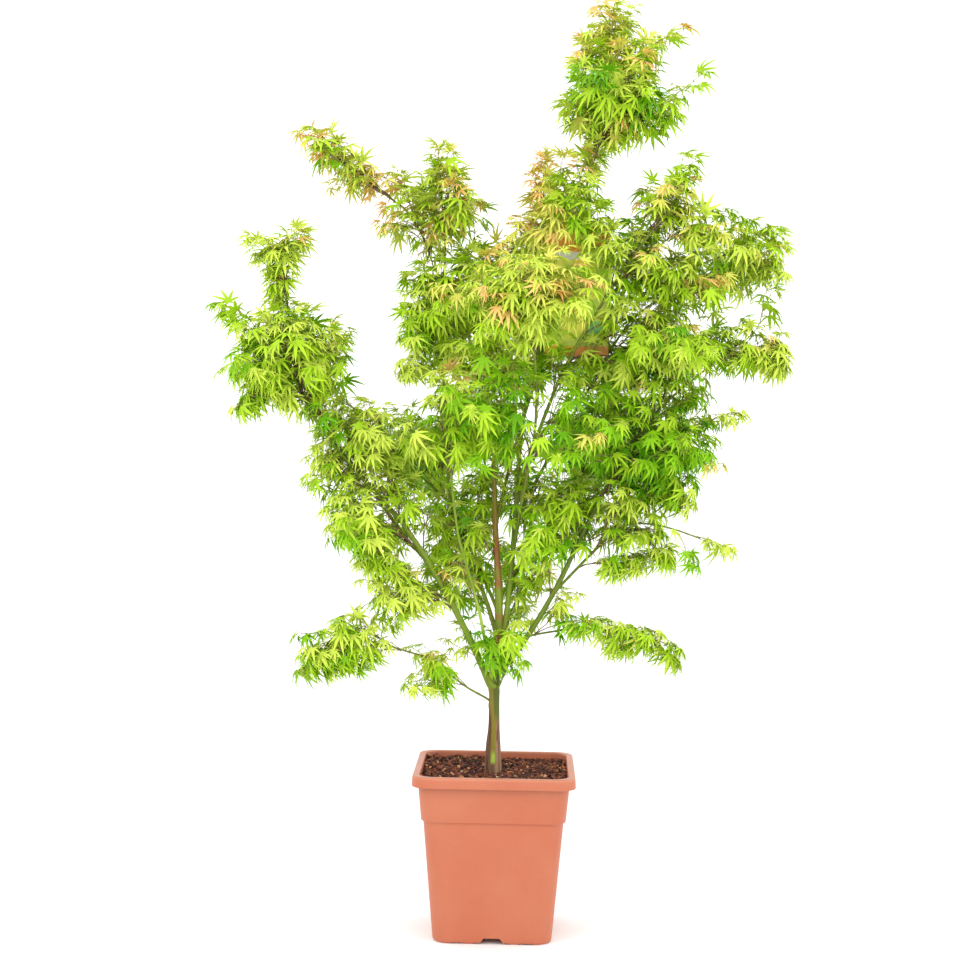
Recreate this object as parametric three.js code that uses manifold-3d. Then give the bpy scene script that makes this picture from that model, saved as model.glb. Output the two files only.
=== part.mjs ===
// A young japanese maple in a square nursery pot: pot, potting mix, trunk, boughs and masses of foliage.
// Millimetres, +Z up. The origin is on the ground, under the middle of the pot's underside.
// The front of the plant faces -Y, and +X is to its right.
import * as THREE from "three";
import { mergeVertices } from "three/addons/utils/BufferGeometryUtils.js";
import { ImprovedNoise } from "three/addons/math/ImprovedNoise.js";
import Module from "manifold-3d";

const wasm = await Module();
wasm.setup();

// ---- driving dimensions ----

const GAP = 0.3; // clearance between two solids that touch

const POT_HEIGHT = 250;
const RIM_HALF = 120; // half of the width across the rim
const RIM_BAND = 16; // height of the turned-down band
const RIM_FLANGE = 11; // width of the rim's flat top
const RIM_ROUND = 3; // rounding of the rim's outer edge
const RIM_LIP = 2; // rounding of the flat top's inner edge
const BAND_SLOPE = 0.6; // how far the band leans in from its foot to its rounding
const COLLAR_HALF = 111; // half width of the collar, just under the rim
const COLLAR_DROP = 51; // height of the collar under the rim's band
const COLLAR_TAPER = 4.5;
const COLLAR_STEP = 3.5; // how far the wall steps in below the collar
const COLLAR_STEP_HEIGHT = 5;
const BASE_HALF = 88.5;
const BASE_ROUND = 7; // rounding where the wall meets the ground
const CORNER = 25; // corner radius of the square
const WALL = 2.2;
const FLOOR_LIFT = 12; // height of the channel under the floor
const FLOOR = 3; // thickness of the floor
const PAD = 34; // radius of the middle foot, which stands on the ground
const CORNER_STEPS = 3;
const PAD_SLOPE = 4; // how much wider the middle foot is at the floor
const NOTCH_HEIGHT = 2;
const NOTCH_WIDTH = 52; // the shallow notch in the middle of each side
const ARCH_HEIGHT = 9; // the tapering notch in the middle of that one
const ARCH_WIDTH = 37;
const ARCH_TOP = 24;
const SIDE_NOTCH_WIDTH = 21;
const NOTCH_SPACING = 50.5; // from the middle notch to the one beside it
const NOTCH_REACH = 15; // how far a notch's cut reaches into the pot
const CUT_DEPTH = 20;

const SOIL_TOP = 238;
const SOIL_FLAT = 24; // radius of the level patch round the trunk's foot
const SOIL_SWELL = 1.5; // how high the mix stands round that patch
const SWELL_HALF = 56; // half width of that swell
const SWELL_CORNER = 40;
const SOIL_BROAD = 88; // half width of the nearly level part
const SOIL_EDGE_DROP = 3; // how much lower the mix is at the wall

const LIMB_SIDES = 5;
const TRUNK_SIDES = 8;
const LIMB_STEP = 64; // length of one straight stretch of a limb
const FEWEST_STEPS = 3; // of a short limb
const UNIT_RADIUS = 0.2; // of a tube before it takes its own radius at each station
const ROOT_FLARE = 0.3; // how much wider the trunk is at the soil than just above it
const FLARE_HEIGHT = 40;
const FACET_SPARE = 1.3; // widens the clearance round a limb, because a tube's facets cut its corners

// Each limb leaves a carrier at a share of that carrier's length, runs through its bends to its tip,
// and tapers from one diameter to the other. The trunk stands on the soil instead.
const TRUNK = {
  bends: [
    [-1, 0, 262],
    [-3, 0, 350],
    [3, 2, 480],
    [-4, 2, 592],
  ],
  tip: [-9, 4, 716],
  thick: 18.2,
  thin: 5.4,
};
const LIMBS = {
  bough_left: {
    on: "trunk",
    at: 0.25,
    bends: [[-43, -15, 447], [-133, -40, 603], [-230, -50, 712], [-292, -50, 800]],
    tip: [-320, -58, 985],
    thick: 10.4,
    thin: 2.4,
  },
  bough_left_twin: {
    on: "bough_left",
    at: 0.31,
    bends: [[-131, -18, 582]],
    tip: [-186, 4, 652],
    thick: 5,
    thin: 3,
  },
  stem_front_left: {
    on: "trunk",
    at: 0.26,
    bends: [[-15, -17, 425], [-30, -34, 501], [-60, -68, 607]],
    tip: [-72, -82, 725],
    thick: 5,
    thin: 3,
  },
  bough_centre_left: {
    on: "trunk",
    at: 0.42,
    bends: [[-26, 25, 520], [-72, 52, 625], [-84, 60, 790]],
    tip: [-106, 50, 987],
    thick: 6.8,
    thin: 3.4,
  },
  bough_shoulder: {
    on: "bough_centre_left",
    at: 0.39,
    bends: [[-131, 58, 690]],
    tip: [-205, 38, 765],
    thick: 3.6,
    thin: 2.4,
  },
  bough_upper_arm: {
    on: "bough_centre_left",
    at: 0.97,
    bends: [[-124, 50, 1060], [-190, 50, 1117]],
    tip: [-288, 50, 1188],
    thick: 3.4,
    thin: 2.2,
  },
  bough_left_spire: {
    on: "bough_centre_left",
    at: 0.86,
    bends: [[-88, 48, 1010]],
    tip: [-97, 45, 1130],
    thick: 3.2,
    thin: 2.2,
  },
  bough_main: {
    on: "trunk",
    at: 0.36,
    bends: [[14, 6, 478], [25, 14, 620], [36, 20, 786], [94, 10, 1007], [137, 0, 1178]],
    tip: [157, 0, 1352],
    thick: 8.6,
    thin: 2.2,
  },
  bough_right: {
    on: "trunk",
    at: 0.3,
    bends: [[43, -10, 440], [88, -20, 520], [147, -15, 646], [225, 10, 775]],
    tip: [352, 20, 886],
    thick: 9,
    thin: 2.4,
  },
  bough_right_low: {
    on: "bough_right",
    at: 0.26,
    bends: [[130, -27, 562], [198, -35, 622]],
    tip: [300, -35, 598],
    thick: 4.2,
    thin: 2.2,
  },
  bough_right_upper: {
    on: "bough_main",
    at: 0.28,
    bends: [[52, -2, 735], [94, -35, 847], [183, -50, 998]],
    tip: [256, -42, 1100],
    thick: 6,
    thin: 2.4,
  },
  bough_right_arm: {
    on: "bough_main",
    at: 0.22,
    bends: [[62, 38, 690], [128, 60, 809], [215, 68, 944]],
    tip: [352, 62, 1003],
    thick: 5,
    thin: 2.2,
  },
  bough_middle_spire: {
    on: "bough_main",
    at: 0.6,
    bends: [[64, 30, 1010]],
    tip: [60, 40, 1120],
    thick: 3.2,
    thin: 2.2,
  },
  bough_front: {
    on: "bough_main",
    at: 0.16,
    bends: [[36, -62, 660], [54, -140, 775]],
    tip: [44, -186, 925],
    thick: 5.4,
    thin: 2.8,
  },
  bough_back: {
    on: "trunk",
    at: 0.78,
    bends: [[20, 60, 720], [52, 120, 830]],
    tip: [84, 165, 950],
    thick: 5.4,
    thin: 2.8,
  },
  bough_back_left: {
    on: "trunk",
    at: 0.5,
    bends: [[-38, 60, 560], [-92, 130, 660]],
    tip: [-128, 180, 745],
    thick: 5.4,
    thin: 2.8,
  },
  bough_back_right: {
    on: "bough_main",
    at: 0.12,
    bends: [[62, 58, 590], [126, 120, 660]],
    tip: [180, 170, 730],
    thick: 5,
    thin: 2.8,
  },
  stem_low_left: {
    on: "trunk",
    at: 0.22,
    bends: [[-33, -6, 356], [-97, -34, 412]],
    tip: [-205, -50, 442],
    thick: 3.2,
    thin: 2.2,
  },
  stem_low_right: {
    on: "bough_right",
    at: 0.13,
    bends: [[123, -6, 459]],
    tip: [198, 0, 452],
    thick: 3,
    thin: 2.2,
  },
  stem_low_centre: {
    on: "trunk",
    at: 0.245,
    bends: [[10, -13, 384]],
    tip: [22, -36, 430],
    thick: 3.4,
    thin: 2.4,
  },
};

// Each mass of foliage: the middle, the half sizes along X, Y and Z, and its lean in the front view.
const MASSES = {
  leaves_top: { middle: [170, -8, 1258], half: [100, 88, 82] },
  leaves_top_tip: { middle: [158, 0, 1364], half: [58, 44, 46] },
  leaves_top_neck: { middle: [145, 5, 1130], half: [50, 46, 56] },
  leaves_middle_spire: { middle: [58, 40, 1098], half: [50, 40, 78] },
  leaves_left_spire: { middle: [-97, 45, 1112], half: [58, 52, 84] },
  leaves_upper_arm: { middle: [-250, 50, 1158], half: [92, 42, 36], lean: -38 },
  leaves_upper_fringe: { middle: [-168, 50, 1064], half: [46, 34, 42] },
  leaves_upper_left: { middle: [-96, 42, 935], half: [76, 84, 92] },
  leaves_left_knot: { middle: [-321, -60, 1008], half: [48, 42, 48] },
  leaves_left_head: { middle: [-320, -50, 862], half: [114, 98, 90] },
  leaves_left_shoulder: { middle: [-196, -16, 738], half: [92, 84, 66] },
  leaves_left_flank: { middle: [-194, -58, 620], half: [86, 84, 84] },
  leaves_left_skirt: { middle: [-146, -40, 508], half: [74, 62, 50] },
  leaves_low_left: { middle: [-96, -32, 388], half: [48, 44, 34] },
  leaves_far_left: { middle: [-232, -50, 424], half: [72, 56, 46] },
  leaves_front_left: { middle: [-72, -88, 776], half: [86, 78, 84] },
  leaves_front_drape: { middle: [48, -192, 946], half: [116, 76, 70] },
  leaves_front: { middle: [60, -152, 768], half: [94, 72, 88] },
  leaves_centre_left: { middle: [-54, 60, 630], half: [66, 58, 88] },
  leaves_centre_right: { middle: [68, -42, 606], half: [54, 54, 88] },
  leaves_right_spire: { middle: [254, -40, 1104], half: [66, 56, 58] },
  leaves_right_upper: { middle: [216, -34, 1004], half: [86, 80, 62] },
  leaves_right_arm: { middle: [366, 60, 1014], half: [74, 62, 66] },
  leaves_right: { middle: [234, -10, 874], half: [112, 100, 86] },
  leaves_right_low_arm: { middle: [362, 20, 878], half: [70, 52, 46] },
  leaves_right_middle: { middle: [222, -26, 734], half: [114, 92, 66] },
  leaves_right_flank: { middle: [182, -20, 624], half: [88, 80, 56] },
  leaves_right_skirt: { middle: [238, -14, 562], half: [52, 48, 50] },
  leaves_right_drop: { middle: [310, -36, 588], half: [38, 32, 34] },
  leaves_low_right: { middle: [102, -30, 472], half: [38, 36, 34] },
  leaves_far_right: { middle: [206, 0, 440], half: [76, 48, 40] },
  leaves_low_centre: { middle: [16, -46, 442], half: [40, 30, 32] },
  leaves_back: { middle: [86, 174, 962], half: [108, 82, 112] },
  leaves_back_neck: { middle: [150, 82, 1096], half: [42, 44, 50] },
  leaves_back_left: { middle: [-108, 192, 742], half: [104, 88, 98] },
  leaves_back_right: { middle: [188, 184, 742], half: [118, 88, 108] },
};
const LARGE_MASS = 91; // a mass whose mean half size is over this has the finer faces
const UNEVEN = 0.13; // how far a mass's surface swells and sinks, as a share of its half size
const LUMPS = 2.1; // how many swellings there are across a mass
const NOISE_STEP = [37, 53]; // spreads the masses over the noise, by their place along X and Z

// A plain card hangs among the leaves from a strap looped round the main bough.
const CARD = {
  on: "bough_main",
  at: 0.71,
  width: 94,
  height: 196,
  thickness: 1,
  corner: 5,
  aside: 0, // from the strap to the card's middle
  strapWidth: 9,
  strapLength: 16,
  loopSides: 10,
};

// ---- colours ----

const finish = (colour, roughness) =>
  new THREE.MeshStandardMaterial({ color: colour, roughness, metalness: 0 });
const POT_FINISH = finish(0xe0825e, 0.5);
const SOIL_FINISH = finish(0x4f2f20, 0.95);
const TRUNK_FINISH = finish(0x6f6f35, 0.7);
const BOUGH_FINISH = finish(0x6c8b2e, 0.6);
const LEAF_FINISH = finish(0x7cc02a, 0.55);
const CARD_FINISH = finish(0xf58a3c, 0.6);

// ---- solids from geometry, and back ----

function solidOf(geometry) {
  const bare = geometry.clone();
  bare.deleteAttribute("normal");
  bare.deleteAttribute("uv");
  const merged = mergeVertices(bare, 1e-3);
  return new wasm.Manifold(
    new wasm.Mesh({
      numProp: 3,
      vertProperties: merged.attributes.position.array,
      triVerts: new Uint32Array(merged.index.array),
    }),
  );
}

function meshOf(name, solid, material) {
  const { vertProperties, triVerts } = solid.getMesh();
  const geometry = new THREE.BufferGeometry();
  geometry.setAttribute("position", new THREE.BufferAttribute(vertProperties, 3));
  geometry.setIndex(new THREE.BufferAttribute(triVerts, 1));
  geometry.computeVertexNormals();
  const mesh = new THREE.Mesh(geometry, material);
  mesh.name = name;
  return mesh;
}

// What is left of a solid when others are cut out of it: only its largest piece is kept.
function cutRound(solid, others) {
  let rest = solid;
  for (const other of others) rest = rest.subtract(other);
  return rest.decompose().reduce((a, b) => (a.volume() > b.volume() ? a : b));
}

// ---- pot and soil: square rings with round corners ----

// A ring is { half, z, round }; the first and the last have half 0 and close the shape on its axis.
function squareLathe(rings) {
  const perCorner = CORNER_STEPS + 1;
  const around = 4 * perCorner;
  const profile = rings.map(({ half, z }) => new THREE.Vector2(half, z));
  const geometry = new THREE.LatheGeometry(profile, around);
  const position = geometry.attributes.position;
  for (let i = 0; i < position.count; i++) {
    const spoke = Math.floor(i / rings.length) % around;
    const { half, z, round } = rings[i % rings.length];
    const corner = Math.floor(spoke / perCorner);
    const turn = (corner * Math.PI) / 2;
    const angle = turn + ((spoke % perCorner) / CORNER_STEPS) * (Math.PI / 2);
    const reach = half - round;
    const x = reach * (Math.cos(turn) - Math.sin(turn)) + round * Math.cos(angle);
    const y = reach * (Math.sin(turn) + Math.cos(turn)) + round * Math.sin(angle);
    position.setXYZ(i, x, y, z);
  }
  return geometry;
}

const ring = (half, z, round = Math.min(half, CORNER)) => ({ half, z, round });
const bandFoot = POT_HEIGHT - RIM_BAND;
const collarFoot = bandFoot - COLLAR_DROP;
const flangeInside = RIM_HALF - RIM_FLANGE;
const wallTop = COLLAR_HALF - COLLAR_TAPER - COLLAR_STEP; // half width just below the collar's step
const floorTop = FLOOR_LIFT + FLOOR;
const collarHalfAt = (z) => COLLAR_HALF - (COLLAR_TAPER * (bandFoot - z)) / COLLAR_DROP;
const inner = (half, z, spare = 0) => ring(half - WALL - spare, z, CORNER - WALL - spare);

function potSolid() {
  const shell = solidOf(
    squareLathe([
      ring(0, 0),
      ring(PAD, 0, PAD),
      ring(PAD + PAD_SLOPE, FLOOR_LIFT, PAD + PAD_SLOPE),
      inner(BASE_HALF, FLOOR_LIFT, 1),
      inner(BASE_HALF - BASE_ROUND / 2, 0),
      ring(BASE_HALF - BASE_ROUND / 2, 0),
      ring(BASE_HALF, BASE_ROUND),
      ring(wallTop, collarFoot - COLLAR_STEP_HEIGHT),
      ring(wallTop + COLLAR_STEP, collarFoot),
      ring(COLLAR_HALF, bandFoot),
      ring(COLLAR_HALF, POT_HEIGHT - RIM_ROUND),
      ring(RIM_HALF - WALL - BAND_SLOPE, POT_HEIGHT - RIM_ROUND),
      ring(RIM_HALF - WALL, bandFoot),
      ring(RIM_HALF, bandFoot),
      ring(RIM_HALF - BAND_SLOPE, POT_HEIGHT - RIM_ROUND),
      ring(RIM_HALF - RIM_ROUND, POT_HEIGHT),
      ring(flangeInside + RIM_LIP, POT_HEIGHT),
      ring(flangeInside, POT_HEIGHT - RIM_LIP, CORNER - WALL),
      inner(COLLAR_HALF, bandFoot),
      inner(wallTop + COLLAR_STEP, collarFoot),
      inner(wallTop, collarFoot - COLLAR_STEP_HEIGHT),
      inner(BASE_HALF, floorTop),
      ring(PAD + PAD_SLOPE, floorTop, PAD + PAD_SLOPE),
      ring(PAD, FLOOR, PAD),
      ring(0, FLOOR),
    ]),
  );
  return cutRound(shell, notches());
}

// The notches in the foot of each side: a wide shallow one with a tapering one in its middle, and one
// shallow one on each side of it.
function notches() {
  const slot = (middle, width, height, topWidth = width) =>
    new THREE.Shape([
      new THREE.Vector2(middle - width / 2, -1),
      new THREE.Vector2(middle + width / 2, -1),
      new THREE.Vector2(middle + topWidth / 2, height),
      new THREE.Vector2(middle - topWidth / 2, height),
    ]);
  const slots = [
    slot(0, NOTCH_WIDTH, NOTCH_HEIGHT),
    slot(0, ARCH_WIDTH, ARCH_HEIGHT, ARCH_TOP),
    slot(-NOTCH_SPACING, SIDE_NOTCH_WIDTH, NOTCH_HEIGHT),
    slot(NOTCH_SPACING, SIDE_NOTCH_WIDTH, NOTCH_HEIGHT),
  ];
  const cuts = [];
  for (let side = 0; side < 4; side++)
    for (const shape of slots) {
      const cut = new THREE.ExtrudeGeometry(shape, { depth: CUT_DEPTH, bevelEnabled: false });
      cut.translate(0, 0, BASE_HALF - NOTCH_REACH);
      cut.rotateX(Math.PI / 2);
      cut.rotateZ((side * Math.PI) / 2);
      cuts.push(solidOf(cut));
    }
  return cuts;
}

function soilSolid() {
  const spare = 1.5 * GAP;
  const edge = SOIL_TOP - SOIL_EDGE_DROP;
  return solidOf(
    squareLathe([
      ring(0, FLOOR + spare),
      ring(PAD - spare, FLOOR + spare, PAD - spare),
      ring(PAD + PAD_SLOPE - spare, floorTop + spare, PAD + PAD_SLOPE - spare),
      inner(BASE_HALF, floorTop + spare, spare),
      inner(wallTop, collarFoot - COLLAR_STEP_HEIGHT, spare),
      inner(wallTop + COLLAR_STEP, collarFoot, spare),
      inner(collarHalfAt(edge), edge, spare),
      ring(SOIL_BROAD, SOIL_TOP - SOIL_EDGE_DROP / 3),
      ring(SWELL_HALF, SOIL_TOP + SOIL_SWELL, SWELL_CORNER),
      ring(SOIL_FLAT, SOIL_TOP, SOIL_FLAT),
      ring(0, SOIL_TOP),
    ]),
  );
}

// ---- trunk and boughs: tapering tubes along a smooth curve ----

function tube(curve, radiusAt, sides) {
  const steps = Math.max(FEWEST_STEPS, Math.ceil(curve.getLength() / LIMB_STEP));
  const unit = UNIT_RADIUS;
  const section = new THREE.Shape();
  for (let i = 0; i < sides; i++) {
    const a = (2 * Math.PI * i) / sides;
    if (i === 0) section.moveTo(unit, 0);
    else section.lineTo(unit * Math.cos(a), unit * Math.sin(a));
  }
  const geometry = new THREE.ExtrudeGeometry(section, { steps, extrudePath: curve });
  const stations = curve.getSpacedPoints(steps);
  const position = geometry.attributes.position;
  const point = new THREE.Vector3();
  for (let i = 0; i < position.count; i++) {
    point.fromBufferAttribute(position, i);
    let near = 0;
    stations.forEach((s, k) => {
      if (s.distanceTo(point) < stations[near].distanceTo(point)) near = k;
    });
    const station = stations[near];
    const radius = radiusAt(near / steps, station.z);
    point.sub(station).multiplyScalar(radius / unit).add(station);
    position.setXYZ(i, point.x, point.y, point.z);
  }
  return solidOf(geometry);
}

const curveThrough = (points) =>
  new THREE.CatmullRomCurve3(points.map((p) => new THREE.Vector3(...p)), false, "centripetal");

// A limb's solid, and the same limb a clearance wider all round, which is what its neighbours are cut with.
function growLimb(curve, { thick, thin }, sides, flare) {
  const radius = (t, z, extra) => {
    const plain = THREE.MathUtils.lerp(thick, thin, t) / 2;
    const foot = flare * Math.exp(-(z - SOIL_TOP) / FLARE_HEIGHT);
    return plain * (1 + foot) + extra;
  };
  const room = (FACET_SPARE * GAP) / Math.cos(Math.PI / sides);
  return {
    curve,
    solid: tube(curve, (t, z) => radius(t, z, 0), sides),
    wide: tube(curve, (t, z) => radius(t, z, room), sides),
  };
}

function growLimbs() {
  const foot = [0, 0, SOIL_TOP + GAP];
  const trunkCurve = curveThrough([foot, ...TRUNK.bends, TRUNK.tip]);
  const limbs = { trunk: growLimb(trunkCurve, TRUNK, TRUNK_SIDES, ROOT_FLARE) };
  for (const [name, limb] of Object.entries(LIMBS)) {
    const start = limbs[limb.on].curve.getPointAt(limb.at).toArray();
    const curve = curveThrough([start, ...limb.bends, limb.tip]);
    const grown = growLimb(curve, limb, LIMB_SIDES, 0);
    grown.solid = cutRound(grown.solid, Object.values(limbs).map((l) => l.wide));
    limbs[name] = grown;
  }
  // The trunk's foot is cut level where it meets the soil.
  const block = 5 * TRUNK.thick;
  const underSoil = new THREE.BoxGeometry(block, block, block);
  underSoil.translate(0, 0, foot[2] - block / 2);
  limbs.trunk.solid = cutRound(limbs.trunk.solid, [solidOf(underSoil)]);
  return limbs;
}

// ---- the hanging card, its strap and the strap's loop, made as one piece ----

function cardSolid(carrier, spare) {
  const { width, height, thickness, corner, aside, strapWidth, strapLength } = CARD;
  const hold = carrier.curve.getPointAt(CARD.at);
  const limb = LIMBS[CARD.on];
  const bore = THREE.MathUtils.lerp(limb.thick, limb.thin, CARD.at) / 2 + 2 * GAP;

  const loopWall = thickness + spare;
  const loop = new THREE.LatheGeometry(
    [
      new THREE.Vector2(bore - spare, -strapWidth / 2 - spare),
      new THREE.Vector2(bore + loopWall, -strapWidth / 2 - spare),
      new THREE.Vector2(bore + loopWall, strapWidth / 2 + spare),
      new THREE.Vector2(bore - spare, strapWidth / 2 + spare),
      new THREE.Vector2(bore - spare, -strapWidth / 2 - spare),
    ],
    CARD.loopSides,
  );
  const upright = new THREE.Vector3(0, 1, 0);
  loop.applyQuaternion(
    new THREE.Quaternion().setFromUnitVectors(upright, carrier.curve.getTangentAt(CARD.at)),
  );
  loop.translate(hold.x, hold.y, hold.z);

  const left = aside - width / 2 - spare;
  const right = aside + width / 2 + spare;
  const low = -strapLength - height - spare;
  const high = -strapLength + spare;
  const outline = new THREE.Shape();
  outline.moveTo(left + corner, low);
  outline.lineTo(right - corner, low);
  outline.lineTo(right, low + corner);
  outline.lineTo(right, high - corner);
  outline.lineTo(right - corner, high);
  outline.lineTo(strapWidth / 2 + spare, high);
  outline.lineTo(strapWidth / 2 + spare, 0);
  outline.lineTo(-strapWidth / 2 - spare, 0);
  outline.lineTo(-strapWidth / 2 - spare, high);
  outline.lineTo(left + corner, high);
  outline.lineTo(left, high - corner);
  outline.lineTo(left, low + corner);
  const card = new THREE.ExtrudeGeometry(outline, {
    depth: thickness + 2 * spare,
    bevelEnabled: false,
  });
  card.rotateX(Math.PI / 2);
  card.translate(hold.x, hold.y - bore + spare, hold.z);
  return solidOf(loop).add(solidOf(card));
}

// ---- masses of foliage: uneven closed lumps, cut round the limbs and round each other ----

const noise = new ImprovedNoise();

function lump({ middle, half, lean = 0 }, extra) {
  const mean = (half[0] + half[1] + half[2]) / 3;
  const geometry = new THREE.IcosahedronGeometry(1, mean > LARGE_MASS ? 2 : 1);
  const position = geometry.attributes.position;
  const dir = new THREE.Vector3();
  const shift = middle[0] / NOISE_STEP[0] + middle[2] / NOISE_STEP[1];
  for (let i = 0; i < position.count; i++) {
    dir.fromBufferAttribute(position, i).normalize();
    const at = dir.clone().multiplyScalar(LUMPS / 2).addScalar(shift);
    const swell = 1 + 2 * UNEVEN * noise.noise(at.x, at.y, at.z);
    position.setXYZ(
      i,
      dir.x * (half[0] * swell + extra),
      dir.y * (half[1] * swell + extra),
      dir.z * (half[2] * swell + extra),
    );
  }
  geometry.rotateY(THREE.MathUtils.degToRad(-lean));
  geometry.translate(...middle);
  return solidOf(geometry);
}

function growMasses(limbs) {
  const inTheWay = Object.values(limbs).map((l) => l.wide);
  inTheWay.push(cardSolid(limbs[CARD.on], 2 * GAP));
  const solids = {};
  for (const [name, mass] of Object.entries(MASSES)) {
    solids[name] = cutRound(lump(mass, 0), inTheWay);
    inTheWay.push(lump(mass, 2 * GAP));
  }
  return solids;
}

// ---- the assembly ----

const plant = new THREE.Group();
plant.add(meshOf("pot", potSolid(), POT_FINISH));
plant.add(meshOf("soil", soilSolid(), SOIL_FINISH));

const limbs = growLimbs();
const wood = new THREE.Group();
for (const [name, limb] of Object.entries(limbs))
  wood.add(meshOf(name, limb.solid, name === "trunk" ? TRUNK_FINISH : BOUGH_FINISH));

wood.add(meshOf("hang_card", cardSolid(limbs[CARD.on], 0), CARD_FINISH));

const crown = new THREE.Group();
for (const [name, solid] of Object.entries(growMasses(limbs)))
  crown.add(meshOf(name, solid, LEAF_FINISH));

plant.add(wood, crown);

export default plant;
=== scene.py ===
import contextlib
import functools
import math
import random
from collections import namedtuple
from dataclasses import dataclass

import bmesh
import bpy
import numpy as np
from bpy.props import FloatProperty, FloatVectorProperty, IntProperty, PointerProperty
from mathutils import Matrix, Vector, noise
from mathutils.bvhtree import BVHTree


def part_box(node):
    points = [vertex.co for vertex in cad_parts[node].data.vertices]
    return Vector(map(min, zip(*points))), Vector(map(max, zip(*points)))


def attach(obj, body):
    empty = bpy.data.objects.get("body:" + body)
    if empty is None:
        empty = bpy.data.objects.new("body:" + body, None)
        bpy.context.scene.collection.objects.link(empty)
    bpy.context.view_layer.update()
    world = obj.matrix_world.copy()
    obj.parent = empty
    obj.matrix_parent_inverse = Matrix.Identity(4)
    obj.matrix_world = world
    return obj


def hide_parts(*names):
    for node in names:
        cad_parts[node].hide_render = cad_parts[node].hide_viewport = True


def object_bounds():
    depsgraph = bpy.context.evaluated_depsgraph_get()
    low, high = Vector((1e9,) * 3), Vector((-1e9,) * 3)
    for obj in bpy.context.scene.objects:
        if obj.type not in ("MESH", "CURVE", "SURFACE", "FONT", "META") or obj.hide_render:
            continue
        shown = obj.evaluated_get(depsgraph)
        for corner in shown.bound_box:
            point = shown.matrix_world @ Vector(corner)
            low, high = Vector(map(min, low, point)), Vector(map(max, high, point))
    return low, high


bl_info = {
    "name": "Potted Japanese Maple",
    "version": (1, 0, 0),
    "blender": (4, 5, 0),
    "location": "3D View > Sidebar > Maple",
    "description": "Builds a young Japanese maple in its square nursery pot, piece by piece",
    "category": "Add Mesh",
}

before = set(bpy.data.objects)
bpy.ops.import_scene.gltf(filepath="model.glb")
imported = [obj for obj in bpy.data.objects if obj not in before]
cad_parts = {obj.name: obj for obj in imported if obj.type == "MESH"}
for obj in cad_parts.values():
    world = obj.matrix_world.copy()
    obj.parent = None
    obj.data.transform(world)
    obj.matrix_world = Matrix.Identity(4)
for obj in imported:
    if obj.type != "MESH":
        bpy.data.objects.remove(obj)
CAD_LOW, CAD_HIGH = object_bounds()

MM = 0.001
UP = Vector((0, 0, 1))

POT_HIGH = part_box("pot")[1]
SOIL_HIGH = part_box("soil")[1]
CARD_LOW, CARD_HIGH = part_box("hang_card")
MASSES = sorted(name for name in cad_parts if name.startswith("leaves_"))
BOUGHS = sorted(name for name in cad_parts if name.startswith(("bough_", "stem_")))

# How young the foliage of each mass is, and how full the mass is of shoots. 0 is the deep green of old
# leaves inside the crown, partly a painted shade there, 1 mid green, 2 fresh green, 3 lime, 4 gold and 5
# the peach of new leaves.
CROWN = {
    "top": (1.9, 0.9),
    "top_tip": (3.5, 1.0),
    "top_neck": (2.2, 0.9),
    "middle_spire": (3.7, 1.3),
    "left_spire": (3.1, 1.2),
    "upper_arm": (3.5, 1.3),
    "upper_fringe": (3.4, 0.9),
    "upper_left": (2.4, 1.0),
    "left_knot": (3.0, 1.3),
    "left_head": (2.1, 0.95),
    "left_shoulder": (2.4, 0.9),
    "left_flank": (2.3, 0.95),
    "left_skirt": (2.3, 1.0),
    "low_left": (2.2, 1.0),
    "far_left": (1.7, 1.1),
    "front_left": (2.2, 0.85),
    "front_drape": (2.7, 1.1),
    "front": (1.1, 0.85),
    "centre_left": (2.4, 0.9),
    "centre_right": (1.4, 0.9),
    "right_spire": (2.6, 1.1),
    "right_upper": (2.6, 1.2),
    "right_arm": (2.7, 1.1),
    "right": (2.0, 0.9),
    "right_low_arm": (2.6, 1.0),
    "right_middle": (0.8, 0.9),
    "right_flank": (2.1, 0.75),
    "right_skirt": (2.3, 0.5),
    "right_drop": (2.6, 0.4),
    "low_right": (2.2, 0.55),
    "far_right": (2.0, 1.1),
    "low_centre": (0.6, 0.7),
    "back": (1.2, 0.8),
    "back_neck": (4.0, 0.9),
    "back_left": (1.6, 0.7),
    "back_right": (0.9, 0.8),
}

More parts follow.
